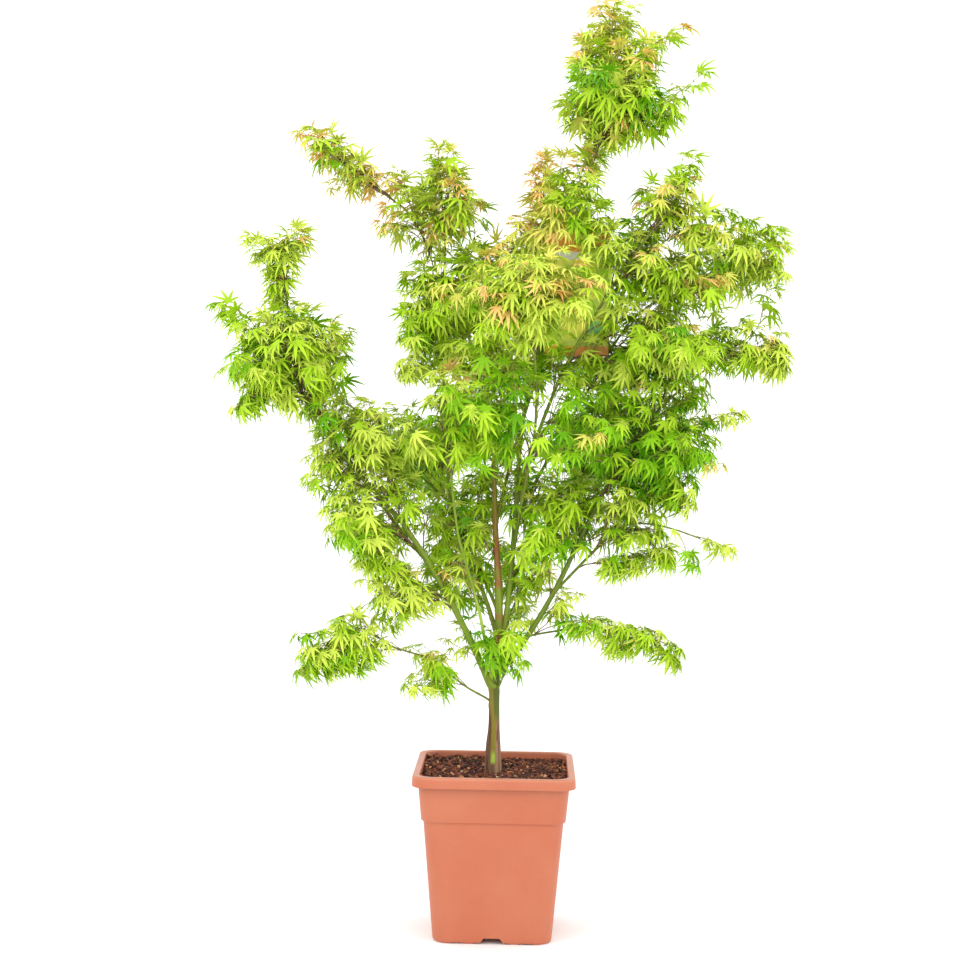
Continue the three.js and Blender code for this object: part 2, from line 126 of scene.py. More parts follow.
# Where the boughs bear a few more shoots: the middle in metres, how far the shoots spread from it along
# each axis, and how many they are.
STRAYS = (
    (-0.27, 0.03, 1.2, 0.022, 0.03, 0.01, 3),
    (-0.215, 0.04, 1.15, 0.02, 0.03, 0.008, 3),
    (-0.265, 0.04, 1.126, 0.012, 0.02, 0.006, 1),
    (-0.15, 0.04, 1.1, 0.02, 0.03, 0.02, 1),
    (-0.178, 0.04, 1.065, 0.012, 0.02, 0.006, 2),
    (-0.085, 0.03, 1.06, 0.02, 0.03, 0.04, 5),
    (-0.085, 0.03, 1.165, 0.006, 0.02, 0.006, 1),
    (-0.064, 0.03, 1.085, 0.01, 0.03, 0.035, 3),
    (-0.055, 0.03, 1.012, 0.018, 0.03, 0.014, 5),
    (-0.09, 0.03, 1, 0.012, 0.03, 0.01, 1),
    (-0.008, 0.01, 1.018, 0.016, 0.03, 0.014, 6),
    (-0.127, 0, 0.88, 0.018, 0.05, 0.02, 5),
    (-0.135, 0, 0.85, 0.016, 0.02, 0.008, 4),
    (-0.06, 0, 0.87, 0.02, 0.04, 0.02, 5),
    (0, -0.01, 0.875, 0.045, 0.06, 0.038, 17),
    (-0.02, -0.05, 0.862, 0.045, 0.02, 0.012, 7),
    (0.07, -0.05, 0.852, 0.04, 0.05, 0.022, 12),
    (0.045, 0.02, 1.05, 0.03, 0.03, 0.03, 8),
    (0.112, -0.06, 1.075, 0.055, 0.024, 0.035, 20),
    (0.075, 0.02, 1.16, 0.025, 0.03, 0.008, 2),
    (0.13, 0, 1.165, 0.012, 0.03, 0.028, 5),
    (0.095, 0, 1.24, 0.012, 0.02, 0.008, 2),
    (0.112, 0, 1.325, 0.01, 0.02, 0.006, 1),
    (0.133, 0, 1.335, 0.012, 0.03, 0.014, 6),
    (0.225, 0, 1.335, 0.016, 0.03, 0.008, 3),
    (0.258, 0, 1.35, 0.006, 0.02, 0.006, 1),
    (0.165, 0, 1.38, 0.015, 0.02, 0.004, 1),
    (0.255, -0.01, 1.268, 0.008, 0.02, 0.006, 1),
    (0.288, -0.01, 1.282, 0.004, 0.01, 0.003, 1),
    (0.245, -0.02, 1.215, 0.01, 0.02, 0.01, 2),
    (0.212, -0.02, 1.208, 0.015, 0.03, 0.006, 2),
    (0.203, -0.02, 1.055, 0.02, 0.03, 0.008, 6),
    (0.285, -0.03, 1.07, 0.035, 0.04, 0.014, 6),
    (0.268, -0.03, 1.15, 0.014, 0.02, 0.006, 2),
    (0.285, -0.03, 1.053, 0.02, 0.03, 0.014, 6),
    (0.335, 0, 1.08, 0.012, 0.02, 0.004, 1),
    (0.355, 0.04, 1.066, 0.02, 0.03, 0.008, 2),
    (0.405, 0.04, 1.05, 0.012, 0.03, 0.018, 5),
    (0.412, 0.04, 1, 0.006, 0.02, 0.02, 2),
    (0.31, -0.02, 0.972, 0.03, 0.04, 0.012, 9),
    (0.255, -0.03, 0.962, 0.03, 0.04, 0.02, 8),
    (0.395, 0.03, 0.965, 0.014, 0.02, 0.006, 2),
    (0.215, -0.03, 0.948, 0.03, 0.03, 0.012, 6),
    (0.178, -0.03, 0.935, 0.018, 0.03, 0.014, 5),
    (0.338, 0.02, 0.9, 0.014, 0.03, 0.005, 1),
    (0.41, 0.02, 0.88, 0.008, 0.02, 0.012, 6),
    (0.414, 0.02, 0.858, 0.005, 0.02, 0.008, 5),
    (0.285, 0, 0.805, 0.03, 0.03, 0.016, 7),
    (0.18, -0.02, 0.8, 0.03, 0.03, 0.014, 4),
    (0.12, -0.03, 0.825, 0.035, 0.03, 0.01, 6),
    (0.342, -0.02, 0.78, 0.012, 0.03, 0.006, 2),
    (0.325, -0.02, 0.715, 0.008, 0.02, 0.006, 1),
    (-0.262, -0.03, 0.794, 0.02, 0.03, 0.016, 8),
    (-0.25, -0.04, 0.745, 0.012, 0.02, 0.01, 2),
    (-0.24, -0.05, 0.695, 0.022, 0.03, 0.025, 7),
    (-0.265, -0.05, 0.69, 0.012, 0.03, 0.022, 6),
    (-0.365, -0.06, 0.788, 0.014, 0.03, 0.008, 5),
    (-0.402, -0.05, 0.84, 0.006, 0.02, 0.006, 1),
    (-0.312, -0.06, 0.8, 0.016, 0.03, 0.006, 2),
    (-0.165, -0.02, 0.69, 0.03, 0.04, 0.02, 8),
    (-0.145, -0.05, 0.665, 0.02, 0.03, 0.018, 3),
    (-0.19, -0.05, 0.69, 0.014, 0.02, 0.01, 2),
    (0, 0.04, 0.69, 0.045, 0.03, 0.012, 9),
    (0.035, 0.03, 0.655, 0.035, 0.03, 0.022, 9),
    (0.09, 0, 0.672, 0.04, 0.06, 0.024, 13),
    (0.11, 0, 0.63, 0.012, 0.03, 0.02, 6),
    (0.158, 0, 0.667, 0.04, 0.05, 0.012, 10),
    (0.18, -0.05, 0.668, 0.018, 0.02, 0.01, 4),
    (-0.08, 0.03, 0.585, 0.018, 0.03, 0.03, 6),
    (-0.032, 0.03, 0.59, 0.016, 0.03, 0.03, 7),
    (-0.06, 0, 0.548, 0.02, 0.04, 0.02, 14),
    (-0.06, 0.03, 0.5, 0.012, 0.03, 0.01, 3),
    (0.24, -0.02, 0.682, 0.033, 0.04, 0.018, 9),
    (0.272, -0.02, 0.668, 0.014, 0.03, 0.028, 8),
    (0.25, -0.02, 0.655, 0.014, 0.02, 0.008, 3),
    (0.2, -0.02, 0.66, 0.02, 0.04, 0.012, 3),
    (0.22, -0.02, 0.605, 0.014, 0.03, 0.008, 2),
    (0.194, -0.02, 0.56, 0.01, 0.02, 0.014, 6),
    (0.238, -0.02, 0.583, 0.014, 0.02, 0.006, 3),
    (0.262, -0.02, 0.572, 0.012, 0.02, 0.006, 2),
    (0.33, -0.03, 0.582, 0.012, 0.02, 0.006, 1),
    (-0.165, -0.03, 0.562, 0.035, 0.04, 0.012, 8),
    (-0.19, -0.04, 0.552, 0.01, 0.03, 0.01, 2),
    (-0.11, -0.02, 0.55, 0.02, 0.03, 0.012, 3),
    (-0.21, -0.05, 0.468, 0.03, 0.03, 0.006, 7),
    (-0.15, -0.04, 0.468, 0.022, 0.03, 0.006, 3),
    (-0.272, -0.05, 0.43, 0.014, 0.03, 0.018, 5),
    (-0.275, -0.05, 0.398, 0.014, 0.03, 0.006, 3),
    (-0.28, -0.05, 0.442, 0.01, 0.02, 0.006, 1),
    (-0.2, -0.05, 0.408, 0.014, 0.02, 0.006, 2),
    (-0.24, -0.05, 0.402, 0.018, 0.03, 0.006, 4),
    (-0.07, -0.02, 0.44, 0.01, 0.02, 0.005, 1),
    (-0.115, -0.03, 0.425, 0.01, 0.02, 0.005, 2),
    (-0.09, -0.03, 0.412, 0.016, 0.03, 0.01, 5),
    (-0.04, -0.02, 0.458, 0.02, 0.02, 0.006, 2),
    (0, -0.03, 0.445, 0.014, 0.02, 0.008, 3),
    (-0.115, -0.03, 0.375, 0.012, 0.03, 0.005, 2),
    (0.06, 0.02, 0.54, 0.014, 0.03, 0.012, 4),
    (0.03, 0.03, 0.52, 0.012, 0.03, 0.018, 3),
    (0.035, 0, 0.478, 0.012, 0.02, 0.008, 2),
    (0.1, -0.01, 0.508, 0.018, 0.02, 0.006, 4),
    (0.15, -0.01, 0.468, 0.016, 0.03, 0.006, 3),
    (0.268, 0, 0.425, 0.014, 0.02, 0.01, 5),
    (0.225, 0, 0.455, 0.016, 0.02, 0.006, 2),
    (0.035, -0.02, 0.414, 0.012, 0.02, 0.006, 1),
    (-0.408, -0.05, 0.932, 0.006, 0.02, 0.006, 2),
    (-0.308, -0.06, 1.034, 0.018, 0.02, 0.008, 5),
    (-0.36, -0.06, 1.02, 0.008, 0.02, 0.01, 1),
    (-0.325, -0.06, 0.972, 0.01, 0.02, 0.022, 7),
    (-0.368, -0.05, 0.795, 0.01, 0.04, 0.008, 3),
)

# Gaps that stay open right through the crown, from left to right and from low to high, in metres.
GAPS = (
    (-0.235, -0.13, 1.148, 1.3),
    (-0.3, -0.22, 1.23, 1.3),
    (-0.37, -0.235, 1.1, 1.165),
    (-0.37, -0.285, 1.165, 1.2),
    (-0.085, -0.03, 1.14, 1.2),
    (-0.265, -0.18, 1.045, 1.115),
    (-0.04, 0.045, 1.07, 1.17),
    (0.13, 0.2, 1.065, 1.175),
    (0.205, 0.255, 1.12, 1.19),
    (-0.145, -0.105, 1.13, 1.2),
    (0.26, 0.38, 1.095, 1.2),
    (0.05, 0.11, 1.18, 1.235),
    (0.085, 0.13, 1.355, 1.42),
    (0.185, 0.3, 1.36, 1.42),
    (0.245, 0.3, 1.32, 1.37),
    (0.04, 0.11, 1.24, 1.31),
    (0.04, 0.095, 1.31, 1.36),
    (0.21, 0.3, 1.25, 1.325),
    (0.225, 0.32, 1.16, 1.2),
    (0.255, 0.32, 1.2, 1.25),
    (-0.27, -0.16, 1.02, 1.075),
    (-0.36, -0.28, 1.06, 1.12),
    (-0.31, -0.19, 0.93, 1.03),
    (-0.285, -0.19, 0.905, 0.93),
    (-0.43, -0.35, 0.925, 1),
    (-0.43, -0.375, 1, 1.045),
    (-0.43, -0.355, 1.045, 1.09),
    (-0.195, -0.14, 0.92, 1),
    (-0.235, -0.15, 0.84, 0.93),
    (-0.245, -0.165, 0.79, 0.85),
    (-0.45, -0.375, 0.85, 0.92),
    (-0.43, -0.39, 0.74, 0.79),
    (-0.35, -0.28, 0.7, 0.775),
    (-0.17, -0.09, 0.76, 0.83),
    (-0.36, -0.28, 0.64, 0.7),
    (-0.34, -0.24, 0.565, 0.64),
    (-0.27, -0.18, 0.49, 0.53),
    (-0.14, -0.115, 0.585, 0.635),
    (-0.1, -0.02, 0.455, 0.51),
    (-0.02, 0.02, 0.49, 0.52),
    (-0.35, -0.3, 0.38, 0.45),
    (-0.09, -0.015, 0.34, 0.41),
    (-0.19, -0.13, 0.375, 0.445),
    (0.04, 0.17, 0.395, 0.465),
    (0.165, 0.215, 0.38, 0.425),
    (0.22, 0.3, 0.465, 0.5),
    (0.09, 0.18, 0.51, 0.59),
    (0.225, 0.36, 0.52, 0.56),
    (0.25, 0.33, 0.57, 0.65),
    (0.31, 0.39, 0.68, 0.76),
    (0.275, 0.32, 0.9, 0.942),
    (0.32, 0.39, 0.79, 0.87),
    (-0.015, 0.04, 0.585, 0.635),
    (-0.09, -0.03, 0.665, 0.72),
    (0.03, 0.08, 0.765, 0.815),
    (0.35, 0.43, 0.975, 0.995),
    (0.34, 0.39, 0.92, 0.96),
    (0.182, 0.215, 0.96, 1),
    (0.22, 0.265, 1.015, 1.045),
)

# Where few shoots end in the front half of the crown, from left to right and from low to high, and the
# share that is left there. The first shows the lower boughs and the second the foot of the card.
FRONT_GAPS = (
    (-0.18, 0.13, 0.36, 0.8, 0.2),
    (0.06, 0.175, 0.845, 0.915, 0),
)
FRONT = -0.03  # where the front half begins

TONES = ("deep", "mid", "fresh", "lime", "gold", "peach")


def srgb(red, green, blue):
    """A colour of 0 to 255 as the linear values that Blender works in."""

    def linear(value):
        share = value / 255
        return share / 12.92 if share <= 0.04045 else ((share + 0.055) / 1.055) ** 2.4

    return (linear(red), linear(green), linear(blue))


def clamped(value, low=0.0, high=1.0):
    return max(low, min(high, value))


def shaken(rng, spread):
    """A random step, as likely one way as another."""
    return Vector([rng.gauss(0, spread) for _ in range(3)])


def own_random(*facts):
    """Random numbers that depend only on what they are for."""
    return random.Random(str(facts))


# ---- what a user can change ----


def length(name, description, default, top=1.0):
    return FloatProperty(
        name=name, description=description, default=default, min=0, max=top, unit="LENGTH", precision=4
    )


def colour(name, description, default):
    return FloatVectorProperty(
        name=name, description=description, default=default, size=3, subtype="COLOR", min=0, max=1
    )


def share(name, description, default, top=1.0):
    return FloatProperty(name=name, description=description, default=default, min=0, max=top)


class PotSettings(bpy.types.PropertyGroup):
    height: length("Height", "From the ground to the top of the rim", POT_HIGH.z)
    rim_width: length("Rim width", "Across the rim, from side to side", 2 * POT_HIGH.x)
    rim_band: length("Rim band", "Height of the rim's turned-down band", 16 * MM)
    rim_flange: length("Rim flange", "Width of the rim's flat top", 11 * MM)
    collar_width: length("Collar width", "Across the collar, just under the rim", 222 * MM)
    collar_drop: length("Collar drop", "Height of the collar under the band", 51 * MM)
    collar_step: length("Collar step", "How far the wall steps in below the collar", 3.5 * MM)
    base_width: length("Base width", "Across the pot where it meets the ground", 177 * MM)
    corner: length("Corner", "Radius of the square's corners", 25 * MM)
    wall: length("Wall", "Thickness of the wall", 2.2 * MM)
    floor_lift: length("Floor lift", "Height of the channel under the floor", 12 * MM)
    foot: length("Foot", "Radius of the middle foot under the floor", 34 * MM)
    plastic: colour("Plastic", "Colour of the moulded plastic", srgb(181, 97, 64))
    # This paler colour serves the chalky bloom and also the painted highlight along the rim's top.
    bloom: colour("Bloom", "Paler colour of the chalky bloom and rubbed edges", srgb(200, 134, 105))


class SoilSettings(bpy.types.PropertyGroup):
    unevenness: length("Unevenness", "How far the surface swells and sinks", 3 * MM)
    chip: length("Chip", "Length of a middling bark chip", 8 * MM)
    crowding: FloatProperty(
        name="Crowding", description="Bark chips for each square metre", default=62000, min=0, max=200000
    )
    seed: IntProperty(name="Seed", description="Another seed scatters the chips anew", default=4)
    dark: colour("Dark", "Colour of the wet bark", srgb(66, 30, 18))
    brown: colour("Brown", "Colour of most chips", srgb(128, 70, 44))
    tan: colour("Tan", "Colour of the fresh chips", srgb(192, 130, 84))
    grit: colour("Grit", "Colour of the white specks", srgb(236, 228, 214))


class BarkSettings(bpy.types.PropertyGroup):
    ridge: length("Ridge", "Height of the ridges at the trunk's foot", 0.9 * MM)
    swelling: length("Swelling", "How far a bough swells at a joint", 0.5 * MM)
    joint_spacing: length("Joint spacing", "Between two joints along a bough", 52 * MM)
    foot_bark: colour("Foot bark", "Rough bark at the trunk's foot", srgb(158, 124, 92))
    crevice: colour("Crevice", "The dark in the cracks of the foot bark", srgb(84, 58, 40))
    stripe: colour("Stripe", "The bright patch low on the front of the foot", srgb(160, 184, 66))
    amber: colour("Amber", "The yellow brown streak above that patch", srgb(128, 116, 38))
    olive: colour("Olive", "Bark of the trunk above its foot", srgb(122, 130, 44))
    rust: colour("Rust", "Patches of old bark on the trunk", srgb(154, 92, 56))
    green: colour("Green", "Bark of the boughs", srgb(120, 148, 40))
    shade: colour("Shade", "Weathered side of the boughs", srgb(92, 84, 44))
    # Painted shade: the dark green of the shaded right side of the trunk and of the right bough.
    moss: colour("Moss", "The dark green side of the trunk and of the right bough", srgb(72, 84, 26))


class ShootSettings(bpy.types.PropertyGroup):
    cell: length("Cell", "Between one shoot tip and the next inside a mass", 30 * MM)
    inset: length("Inset", "How far the tips stay inside a mass's outline", 20 * MM)
    shortest: length("Shortest", "Length of the shortest shoot", 60 * MM)
    tip: length("Tip", "Radius of a shoot at its tip", 0.45 * MM)
    seed: IntProperty(name="Seed", description="Another seed grows other shoots", default=11)
    old: colour("Old", "Colour of the twigs that carry others", srgb(108, 78, 56))
    young: colour("Young", "Colour of this year's shoots", srgb(136, 138, 62))


class LeafSettings(bpy.types.PropertyGroup):
    lobe: length("Lobe", "Length of a leaf's middle lobe", 32 * MM)
    spacing: length("Spacing", "Between one pair of leaves and the next", 17 * MM)
    zone: length("Leafy zone", "How far back from its tip a shoot has leaves", 92 * MM)
    deep: colour("Deep", "Leaves inside the crown", srgb(100, 164, 10))
    mid: colour("Mid", "Full-grown leaves", srgb(134, 190, 16))
    fresh: colour("Fresh", "Fresh green leaves", srgb(170, 208, 38))
    lime: colour("Lime", "Young lime green leaves", srgb(202, 222, 80))
    gold: colour("Gold", "Young yellow leaves", srgb(220, 218, 98))
    peach: colour("Peach", "Leaves that have just opened", srgb(244, 196, 118))
    stalk: colour("Stalk", "Leaf stalks", srgb(166, 160, 78))


class CardSettings(bpy.types.PropertyGroup):
    tall: length("Height", "Height of the card", 196 * MM)
    header: length("Header", "Height of the band at the top", 40 * MM)
    footer: length("Footer", "Height of the band at the bottom", 15 * MM)
    edge: colour("Edge", "Colour of the bands and the strap", srgb(255, 158, 60))
    pale: colour("Pale", "Colour of the plain strip under the header", srgb(238, 236, 226))
    field: colour("Field", "Colour of the middle", srgb(206, 222, 84))
    bright: colour("Bright", "Brighter clouds in the middle", srgb(250, 240, 90))
    spot: colour("Spot", "Colour of the patch on the right", srgb(150, 226, 150))


class StageSettings(bpy.types.PropertyGroup):
    floor: colour("Floor", "Colour of the floor", (0.92, 0.92, 0.92))
    sky: share("Sky", "Strength of the even light from all round", 1.5, 10)
    key: share("Key", "Power of the soft light from the front left, in watts", 22, 10000)
    fill: share("Fill", "Power of the soft light from the right, in watts", 10, 10000)


# ---- nodes and materials ----


class Nodes:
    """Adds nodes to a tree."""

    def __init__(self, tree):
        self.tree = tree

    def node(self, kind, *values, output=0, **words):
        """A new node's output. Words in lower case are its settings, and capitalised ones its inputs."""
        made = self.tree.nodes.new(kind)
        inputs = dict(enumerate(values))
        for word, value in words.items():
            if word.islower():
                setattr(made, word, value)
            else:
                inputs[word.replace("_", " ")] = value
        for key, value in inputs.items():
            self.put(value, made.inputs[key])
        return made.outputs[output]

    def put(self, value, socket):
        """Links value to a socket, or sets the socket where value is a constant."""
        value = value.socket if isinstance(value, Wire) else value
        if isinstance(value, bpy.types.NodeSocket):
            self.tree.links.new(value, socket)
        else:
            socket.default_value = value


class Wire:
    """A shader socket that takes part in Python arithmetic."""

    def __init__(self, finish, socket):
        self.finish = finish
        self.socket = socket

    def math(self, operation, *values):
        return self.finish.node("ShaderNodeMath", *values, operation=operation)

    def __add__(self, other):
        return self.math("ADD", self, other)

    def __sub__(self, other):
        return self.math("SUBTRACT", self, other)

    def __rsub__(self, other):
        return self.math("SUBTRACT", other, self)

    def __mul__(self, other):
        return self.math("MULTIPLY", self, other)

    def __abs__(self):
        return self.math("ABSOLUTE", self)

    def between(self, low, high):
        """0 below low, 1 above high and smooth between them."""
        return self.finish.node(
            "ShaderNodeMapRange", interpolation_type="SMOOTHSTEP", Value=self, From_Min=low, From_Max=high
        )

    def band(self, low, full, fading, high):
        """1 from full to fading, 0 below low and above high, and smooth between them."""
        return self.between(low, full) * (1 - self.between(fading, high))


class Finish(Nodes):
    """A material with one Principled shader. Constants sit on its sockets."""

    def __init__(self, name, tint, roughness, specular=0.5):
        self.material = bpy.data.materials.new(name)
        self.material.use_nodes = True
        self.material.diffuse_color = (*tint, 1)
        super().__init__(self.material.node_tree)
        self.surface = self.tree.nodes["Principled BSDF"].inputs
        self.put((*tint, 1), self.surface["Base Color"])
        self.put(roughness, self.surface["Roughness"])
        self.put(specular, self.surface["Specular IOR Level"])

    def node(self, *values, **words):
        return Wire(self, super().node(*values, **words))

    def place(self, scale=(1, 1, 1)):
        """Object coordinates in metres, scaled."""
        spot = self.node("ShaderNodeTexCoord", output="Object")
        return self.node("ShaderNodeMapping", Vector=spot, Scale=scale)

    def along_bark(self, scale):
        """Coordinates that follow a limb as if it stood straight, in metres, scaled."""
        spot = self.node("ShaderNodeAttribute", attribute_name="bark_place", output="Vector")
        return self.node("ShaderNodeMapping", Vector=spot, Scale=scale)

    def parts(self, vector):
        """The x, y and z of a vector."""
        apart = self.node("ShaderNodeSeparateXYZ", vector).socket.node.outputs
        return [Wire(self, apart[axis]) for axis in "XYZ"]

    def cloud(self, vector, scale, detail=3, roughness=0.55):
        inputs = {"Vector": vector, "Scale": scale, "Detail": detail, "Roughness": roughness}
        return self.node("ShaderNodeTexNoise", output="Fac", **inputs)

    def mix(self, factor, low, high):
        """The colour low where factor is 0, and high where it is 1."""
        made = self.node("ShaderNodeMix", data_type="RGBA").socket.node
        sockets = {socket.identifier: socket for socket in (*made.inputs, *made.outputs)}
        self.put(factor, sockets["Factor_Float"])
        for key, value in (("A_Color", low), ("B_Color", high)):
            self.put(value if isinstance(value, Wire) else (*value, 1), sockets[key])
        return Wire(self, sockets["Result_Color"])

    def feed(self, name, wire):
        self.put(wire, self.surface[name])

    def bump(self, height, strength, distance):
        self.feed("Normal", self.node("ShaderNodeBump", Height=height, Strength=strength, Distance=distance))


# ---- meshes ----


def add_object(name, mesh):
    made = bpy.data.objects.new(name, mesh)
    bpy.context.scene.collection.objects.link(made)
    return made


def mesh_of(name, points, faces, edges=()):
    mesh = bpy.data.meshes.new(name)
    mesh.from_pydata([tuple(p) for p in points], edges, faces)
    mesh.update()
    return mesh


def store(mesh, kind, **rows):
    """Keeps a value for each point of a mesh, as an attribute."""
    for label, values in rows.items():
        data = mesh.attributes.new(label, kind, "POINT").data
        data.foreach_set("vector" if kind == "FLOAT_VECTOR" else "value", np.ravel(values))


@contextlib.contextmanager
def edited(mesh):
    """A mesh as a bmesh, which goes back into it when the block ends."""
    shape = bmesh.new()
    shape.from_mesh(mesh)
    yield shape
    shape.to_mesh(mesh)
    shape.free()


def faced_outwards(mesh):
    with edited(mesh) as shape:
        bmesh.ops.recalc_face_normals(shape, faces=shape.faces)
    return mesh


def tube_faces(rows, around):
    """The faces between loops of points, each loop of as many points."""
    faces = []
    for low in range(0, (rows - 1) * around, around):
        for i in range(around):
            j = (i + 1) % around
            faces.append((low + i, low + j, low + around + j, low + around + i))
    return faces


def stacked(rings, ends=None):
    """A closed skin over a stack of loops, with a fan over the first and the last."""
    around = len(rings[0])
    points = [p for loop in rings for p in loop]
    faces = tube_faces(len(rings), around)
    for end, row in enumerate((0, len(rings) - 1)):
        centre = len(points)
        points.append(ends[end] if ends else np.mean(rings[row], axis=0))
        for i in range(around):
            face = (row * around + i, row * around + (i + 1) % around, centre)
            faces.append(face if end else face[::-1])
    return points, faces


def add_tube(shape, loops):
    """Adds a closed tube through loops of places to a bmesh."""
    rows = [[shape.verts.new(place) for place in loop] for loop in loops]
    shape.faces.new(rows[0])
    shape.faces.new(rows[-1][::-1])
    for a, b in zip(rows, rows[1:]):
        for i in range(len(a)):
            j = (i + 1) % len(a)
            shape.faces.new((a[j], a[i], b[i], b[j]))


def finished(piece, material, slot, *nodes):
    """Gives a piece its material and its place in the model."""
    piece.data.materials.clear()
    piece.data.materials.append(material)
    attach(piece, "root")
    if nodes:
        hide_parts(*nodes)


def smooth(mesh, sharpest):
    mesh.shade_smooth()
    mesh.set_sharp_from_angle(angle=math.radians(sharpest))


def applied(piece):
    """Puts what a piece's modifiers make in its mesh, and removes them."""
    graph = bpy.context.evaluated_depsgraph_get()
    made = bpy.data.meshes.new_from_object(piece.evaluated_get(graph))
    piece.modifiers.clear()
    old = piece.data
    piece.data = made
    bpy.data.meshes.remove(old)
    made.name = piece.name


# ---- geometry nodes ----


class Grower(Nodes):
    """A geometry node tree that is built in code and applied to an object."""

    def __init__(self, name, **sizes):
        """Sizes are the tree's inputs: each has its default, or the kind of data block that it takes."""
        super().__init__(bpy.data.node_groups.new(name, "GeometryNodeTree"))
        sockets = self.tree.interface
        sockets.new_socket("Geometry", in_out="INPUT", socket_type="NodeSocketGeometry")
        self.sizes = {}
        for label, default in (*sizes.items(), ("Material", "Material")):
            kind = default if isinstance(default, str) else type(default).__name__.title()
            socket = sockets.new_socket(label, in_out="INPUT", socket_type=f"NodeSocket{kind}")
            if kind != default:
                socket.default_value = default
            self.sizes[label] = socket.identifier
        sockets.new_socket("Geometry", in_out="OUTPUT", socket_type="NodeSocketGeometry")
        self.inputs = self.tree.nodes.new("NodeGroupInput").outputs
        self.end = self.tree.nodes.new("NodeGroupOutput").inputs["Geometry"]

    def attribute(self, name, kind="FLOAT"):
        return self.node("GeometryNodeInputNamedAttribute", data_type=kind, Name=name)

    def times(self, one, other):
        return self.node("ShaderNodeMath", one, other, operation="MULTIPLY")

    def copies(self, points, **inputs):
        """One of the shapes of the collection that is given, on every point."""
        shapes = self.node(
            "GeometryNodeCollectionInfo",
            Collection=self.inputs["Shapes"],
            Separate_Children=True,
            Reset_Children=True,
        )
        return self.node(
            "GeometryNodeInstanceOnPoints", Points=points, Instance=shapes, Pick_Instance=True, **inputs
        )

    def ended(self, geometry):
        """The whole tree, which realizes what is there and gives it its material."""
        real = self.node("GeometryNodeRealizeInstances", Geometry=geometry)
        dressed = self.node("GeometryNodeSetMaterial", Geometry=real, Material=self.inputs["Material"])
        self.put(dressed, self.end)
        return self

    def apply(self, piece, **values):
        modifier = piece.modifiers.new(self.tree.name, "NODES")
        modifier.node_group = self.tree
        for label, value in values.items():
            modifier[self.sizes[label]] = value
        applied(piece)


@functools.cache
def copies_grower():
    """Sets one of a collection's shapes on every point, turned and sized by the point's attributes."""
    grower = Grower("Copies on points", Shapes="Collection", Size=1.0)
    turn = grower.node(
        "FunctionNodeAxesToRotation",
        grower.attribute("way", "FLOAT_VECTOR"),
        grower.attribute("up", "FLOAT_VECTOR"),
        primary_axis="Y",
        secondary_axis="Z",
    )
    copies = grower.copies(
        grower.inputs["Geometry"],
        Instance_Index=grower.attribute("shape", "INT"),
        Rotation=turn,
        Scale=grower.times(grower.attribute("size"), grower.inputs["Size"]),
    )
    return grower.ended(copies)


@functools.cache
def shoots_grower():
    """Makes a tapering tube round every chain of edges."""
    grower = Grower("Tubes along chains", Thickness=1.0, Sides=5)
    tubes = grower.node(
        "GeometryNodeCurveToMesh",
        grower.node("GeometryNodeMeshToCurve", Mesh=grower.inputs["Geometry"]),
        grower.node("GeometryNodeCurvePrimitiveCircle", Resolution=grower.inputs["Sides"], Radius=1.0),
        Scale=grower.times(grower.attribute("thick"), grower.inputs["Thickness"]),
        Fill_Caps=True,
    )
    return grower.ended(tubes)


@functools.cache
def scatter_grower():
    """Scatters a collection's shapes over a surface, turned at random."""
    sizes = {"Crowding": 1000.0, "Smallest": 0.5, "Largest": 1.5, "Size": 0.01, "Lift": 0.0, "Seed": 0}
    grower = Grower("Scatter", Shapes="Collection", **sizes)
    inputs = grower.inputs

    def chance(output=0, **words):
        return grower.node("FunctionNodeRandomValue", output=output, Seed=inputs["Seed"], **words)

    spots = grower.node(
        "GeometryNodeDistributePointsOnFaces",
        Mesh=inputs["Geometry"],
        Density=inputs["Crowding"],
        Seed=inputs["Seed"],
    )
    top = grower.node("ShaderNodeCombineXYZ", Z=inputs["Lift"])
    lift = chance(data_type="FLOAT_VECTOR", Min=(0, 0, 0), Max=top)
    turn = chance(data_type="FLOAT_VECTOR", Min=(-0.7, -0.7, 0), Max=(0.7, 0.7, 2 * math.pi))
    part = chance(output=1)
    for number, label in ((2, "Smallest"), (3, "Largest")):
        grower.put(inputs[label], part.node.inputs[number])
    copies = grower.copies(
        grower.node("GeometryNodeSetPosition", Geometry=spots, Offset=lift),
        Rotation=grower.node("FunctionNodeEulerToRotation", turn),
        Scale=grower.times(part, inputs["Size"]),
    )
    return grower.ended(copies)


@contextlib.contextmanager
def shapes_of(name, meshes):
    """A collection of shapes to copy, which is gone again once the copies are made."""
    collection = bpy.data.collections.new(name)
    for index, mesh in enumerate(meshes):
        collection.objects.link(bpy.data.objects.new(f"{name}_{index:02}", mesh))
    yield collection
    for mesh in meshes:
        bpy.data.meshes.remove(mesh)
    bpy.data.collections.remove(collection)


# ---- pot ----

CORNER_STEPS = 10
NOTCH = ((26, -1), (26, 2), (17, 2), (12, 9))  # right half of the notch in the middle of a side, in mm
VENT = ((10.5, -1), (10, 2), (-10, 2), (-10.5, -1))  # the small notch on either side of it
VENT_PLACE = 50.5  # from the middle of the side to the middle of the small notch
NOTCH_DEPTH = 20 * MM


def square_ring(half, z, corner):
    """A square with round corners, as a closed loop of points that starts on +X."""
    corner = min(half, corner)
    reach = half - corner
    points = []
    for side in range(4):
        turn = side * math.pi / 2
        middle = (reach * (math.cos(turn) - math.sin(turn)), reach * (math.sin(turn) + math.cos(turn)))
        for step in range(CORNER_STEPS + 1):
            angle = turn + step / CORNER_STEPS * math.pi / 2
            points.append((middle[0] + corner * math.cos(angle), middle[1] + corner * math.sin(angle), z))
    return points


